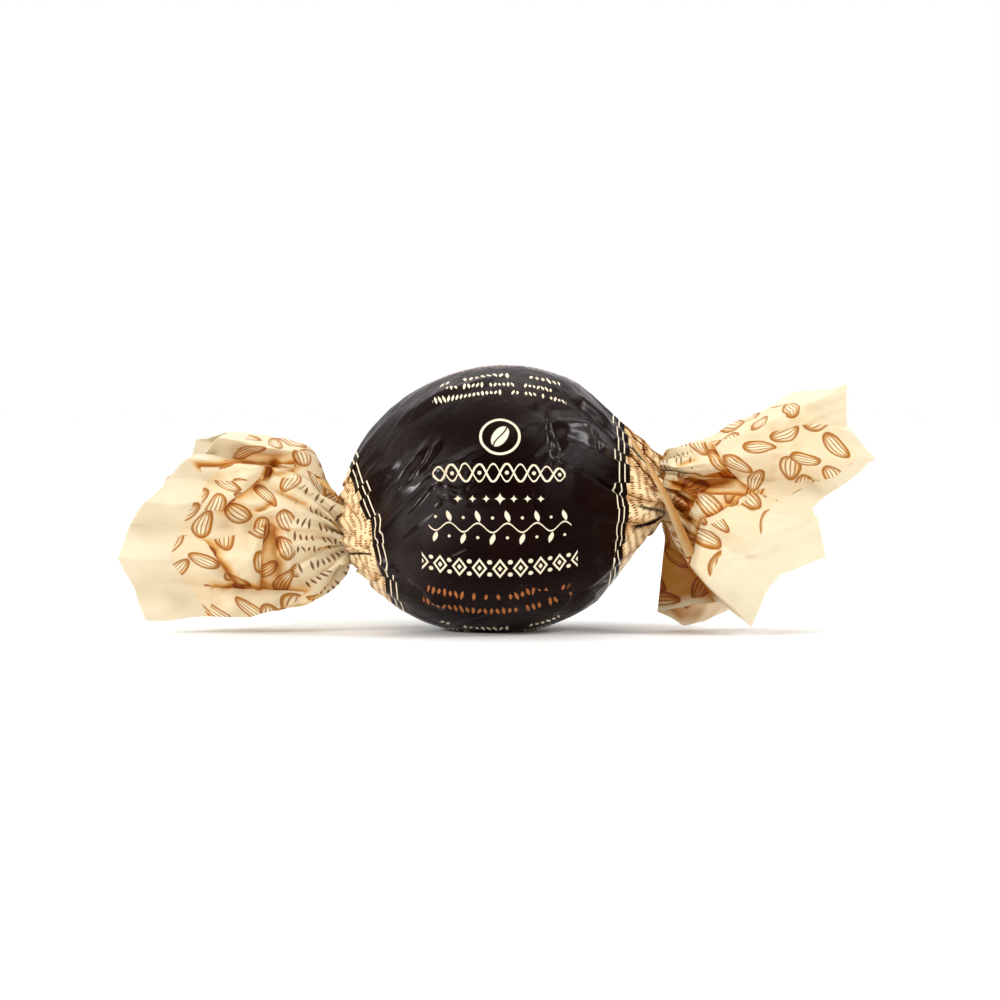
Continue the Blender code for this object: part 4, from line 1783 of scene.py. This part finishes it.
@dataclass(frozen=True)
class Studio:
    """A pale table top, soft light and the camera. Sizes are in metres."""

    target: Array
    view_width: float = 0.138
    lens: float = 120.0
    sensor: float = 36.0
    elevation: float = 2.0  # degrees
    table_radius: float = 3.0
    room_light: float = 0.24
    room_tint: Colour = (1.0, 0.90, 0.77, 1)
    back_light: float = 1.0
    lights: tuple[tuple[str, tuple[float, float, float], float, float], ...] = (
        ("key", (-0.60, -0.34, 0.30), 0.115, 2.7),
        ("side", (0.54, -0.16, 0.46), 0.22, 2.4),
        ("fill", (0.45, -0.50, 0.16), 0.30, 0.7),
    )  # name, place, size and power in watts
    sun: float = 2.0
    sun_turn: tuple[float, float] = (-4.0, -22.0)  # degrees about X and Y

    def table(self) -> None:
        """A round top a little under the lowest point, so that nothing cuts into it."""
        turn = 2 * np.pi * np.arange(96) / 96
        rim = self.table_radius * np.stack((np.cos(turn), np.sin(turn), 0 * turn), axis=-1)
        mesh = bpy.data.meshes.new("table_top")
        mesh.from_pydata(rim.tolist(), [], [tuple(range(len(rim)))])
        mesh.materials.append(TableFinish().material())
        top = bpy.data.objects.new("table_top", mesh)
        bpy.context.scene.collection.objects.link(top)

    def light(self, name: str, place: tuple[float, float, float], size: float, power: float) -> None:
        """A square soft light that shines on the sweet.

        Args:
            name: Its name.
            place: Where it is.
            size: Its width.
            power: In watts.
        """
        lamp = bpy.data.lights.new(name, "AREA")
        lamp.size = size
        lamp.energy = power
        holder = bpy.data.objects.new(name, lamp)
        across, deep, high = np.subtract(place, self.target)
        holder.location = place
        holder.rotation_euler = (np.arctan2(np.hypot(across, deep), high), 0, np.arctan2(across, -deep))
        bpy.context.scene.collection.objects.link(holder)

    def camera(self) -> None:
        """The camera, a little above the level of the table, straight in front."""
        lens = bpy.data.cameras.new("front_camera")
        lens.lens = self.lens
        lens.sensor_width = self.sensor
        distance = self.view_width * self.lens / self.sensor
        tilt = np.radians(self.elevation)
        camera = bpy.data.objects.new("front_camera", lens)
        camera.location = self.target + distance * np.array((0, -np.cos(tilt), np.sin(tilt)))
        camera.rotation_euler = (np.pi / 2 - tilt, 0, 0)
        bpy.context.scene.collection.objects.link(camera)
        bpy.context.scene.camera = camera

    def daylight(self) -> None:
        """Soft light from above over the whole table."""
        lamp = bpy.data.lights.new("daylight", "SUN")
        lamp.energy = self.sun
        lamp.angle = np.radians(90)
        holder = bpy.data.objects.new("daylight", lamp)
        holder.rotation_euler = (*np.radians(self.sun_turn), 0)
        bpy.context.scene.collection.objects.link(holder)

    def world(self) -> None:
        """White light from all round, dimmer from in front than from behind the sweet."""
        graph = Graph(bpy.data.worlds.new("white_room"))
        direction = graph.node("ShaderNodeTexCoord").outputs["Generated"]
        away = graph.out(graph.node("ShaderNodeSeparateXYZ", None, {"Vector": direction}), "Y")
        share = ((away + 0.15) / 0.75).maths("MAXIMUM", 0.0).maths("MINIMUM", 1.0)
        strength = share * share * (self.back_light - self.room_light) + self.room_light
        tint = graph.mix(share, self.room_tint, (1.0, 1.0, 1.0, 1))
        colour = {"Color": tint, "Strength": strength}
        background = graph.node("ShaderNodeBackground", None, colour)
        graph.node("ShaderNodeOutputWorld", None, {"Surface": background.outputs["Background"]})
        bpy.context.scene.world = graph.owner

    def build(self) -> None:
        """All of it."""
        self.table()
        self.world()
        for light in self.lights:
            self.light(*light)
        self.daylight()
        self.camera()
        bpy.context.scene.view_settings.view_transform = "Standard"


def main() -> None:
    """Builds the sweet and the studio."""
    logging.basicConfig(level=logging.INFO, format="%(message)s")
    rest = np.array(frame["record"]["mounts"][0]["pos_m"]) / MM
    ball_middle = rest + BALL_HEIGHT * UP
    left_cream = CreamFinish(name="cream_left_film", flaps=LEFT_FLAPS)
    right_cream = CreamFinish(
        name="cream_right_film",
        mark_zone=4.6,
        mark_rows=1.3,
        mark_size=(0.62, 1.1, 0.12),
        mark_girth=(-12.0, 9.0),
        flaps=RIGHT_FLAPS,
    )
    strip_cream = replace(right_cream, name="cream_strip_film", flaps=())
    left = Tail(
        name="left_tail",
        ball_middle=ball_middle,
        neck=LEFT_NECK,
        folds=LEFT_FOLDS,
        first_fold=0,
        knee=2.6,
        flaps=LEFT_FLAPS,
        creases=LEFT_CREASES,
        fan_angle=1.25,
        fan_start=56.0,
    )
    right = Tail(
        name="right_tail",
        ball_middle=ball_middle,
        neck=RIGHT_NECK,
        folds=RIGHT_FOLDS,
        first_fold=-1,
        knee=1.2,
        flaps=RIGHT_FLAPS,
        creases=RIGHT_CREASES,
        fan_angle=3.6,
        fan_start=9.0,
    )
    BallWrap(ball_middle).film().piece(PanelFinish().material(), "dark_film")
    left.film().piece(left_cream.material(), "cream_film")
    right.film().piece(right_cream.material(), "cream_film")
    OverlapStrip(ball_middle).film().piece(strip_cream.material(), "cream_film")
    Studio(ball_middle * MM).build()


if __name__ == "__main__":
    main()
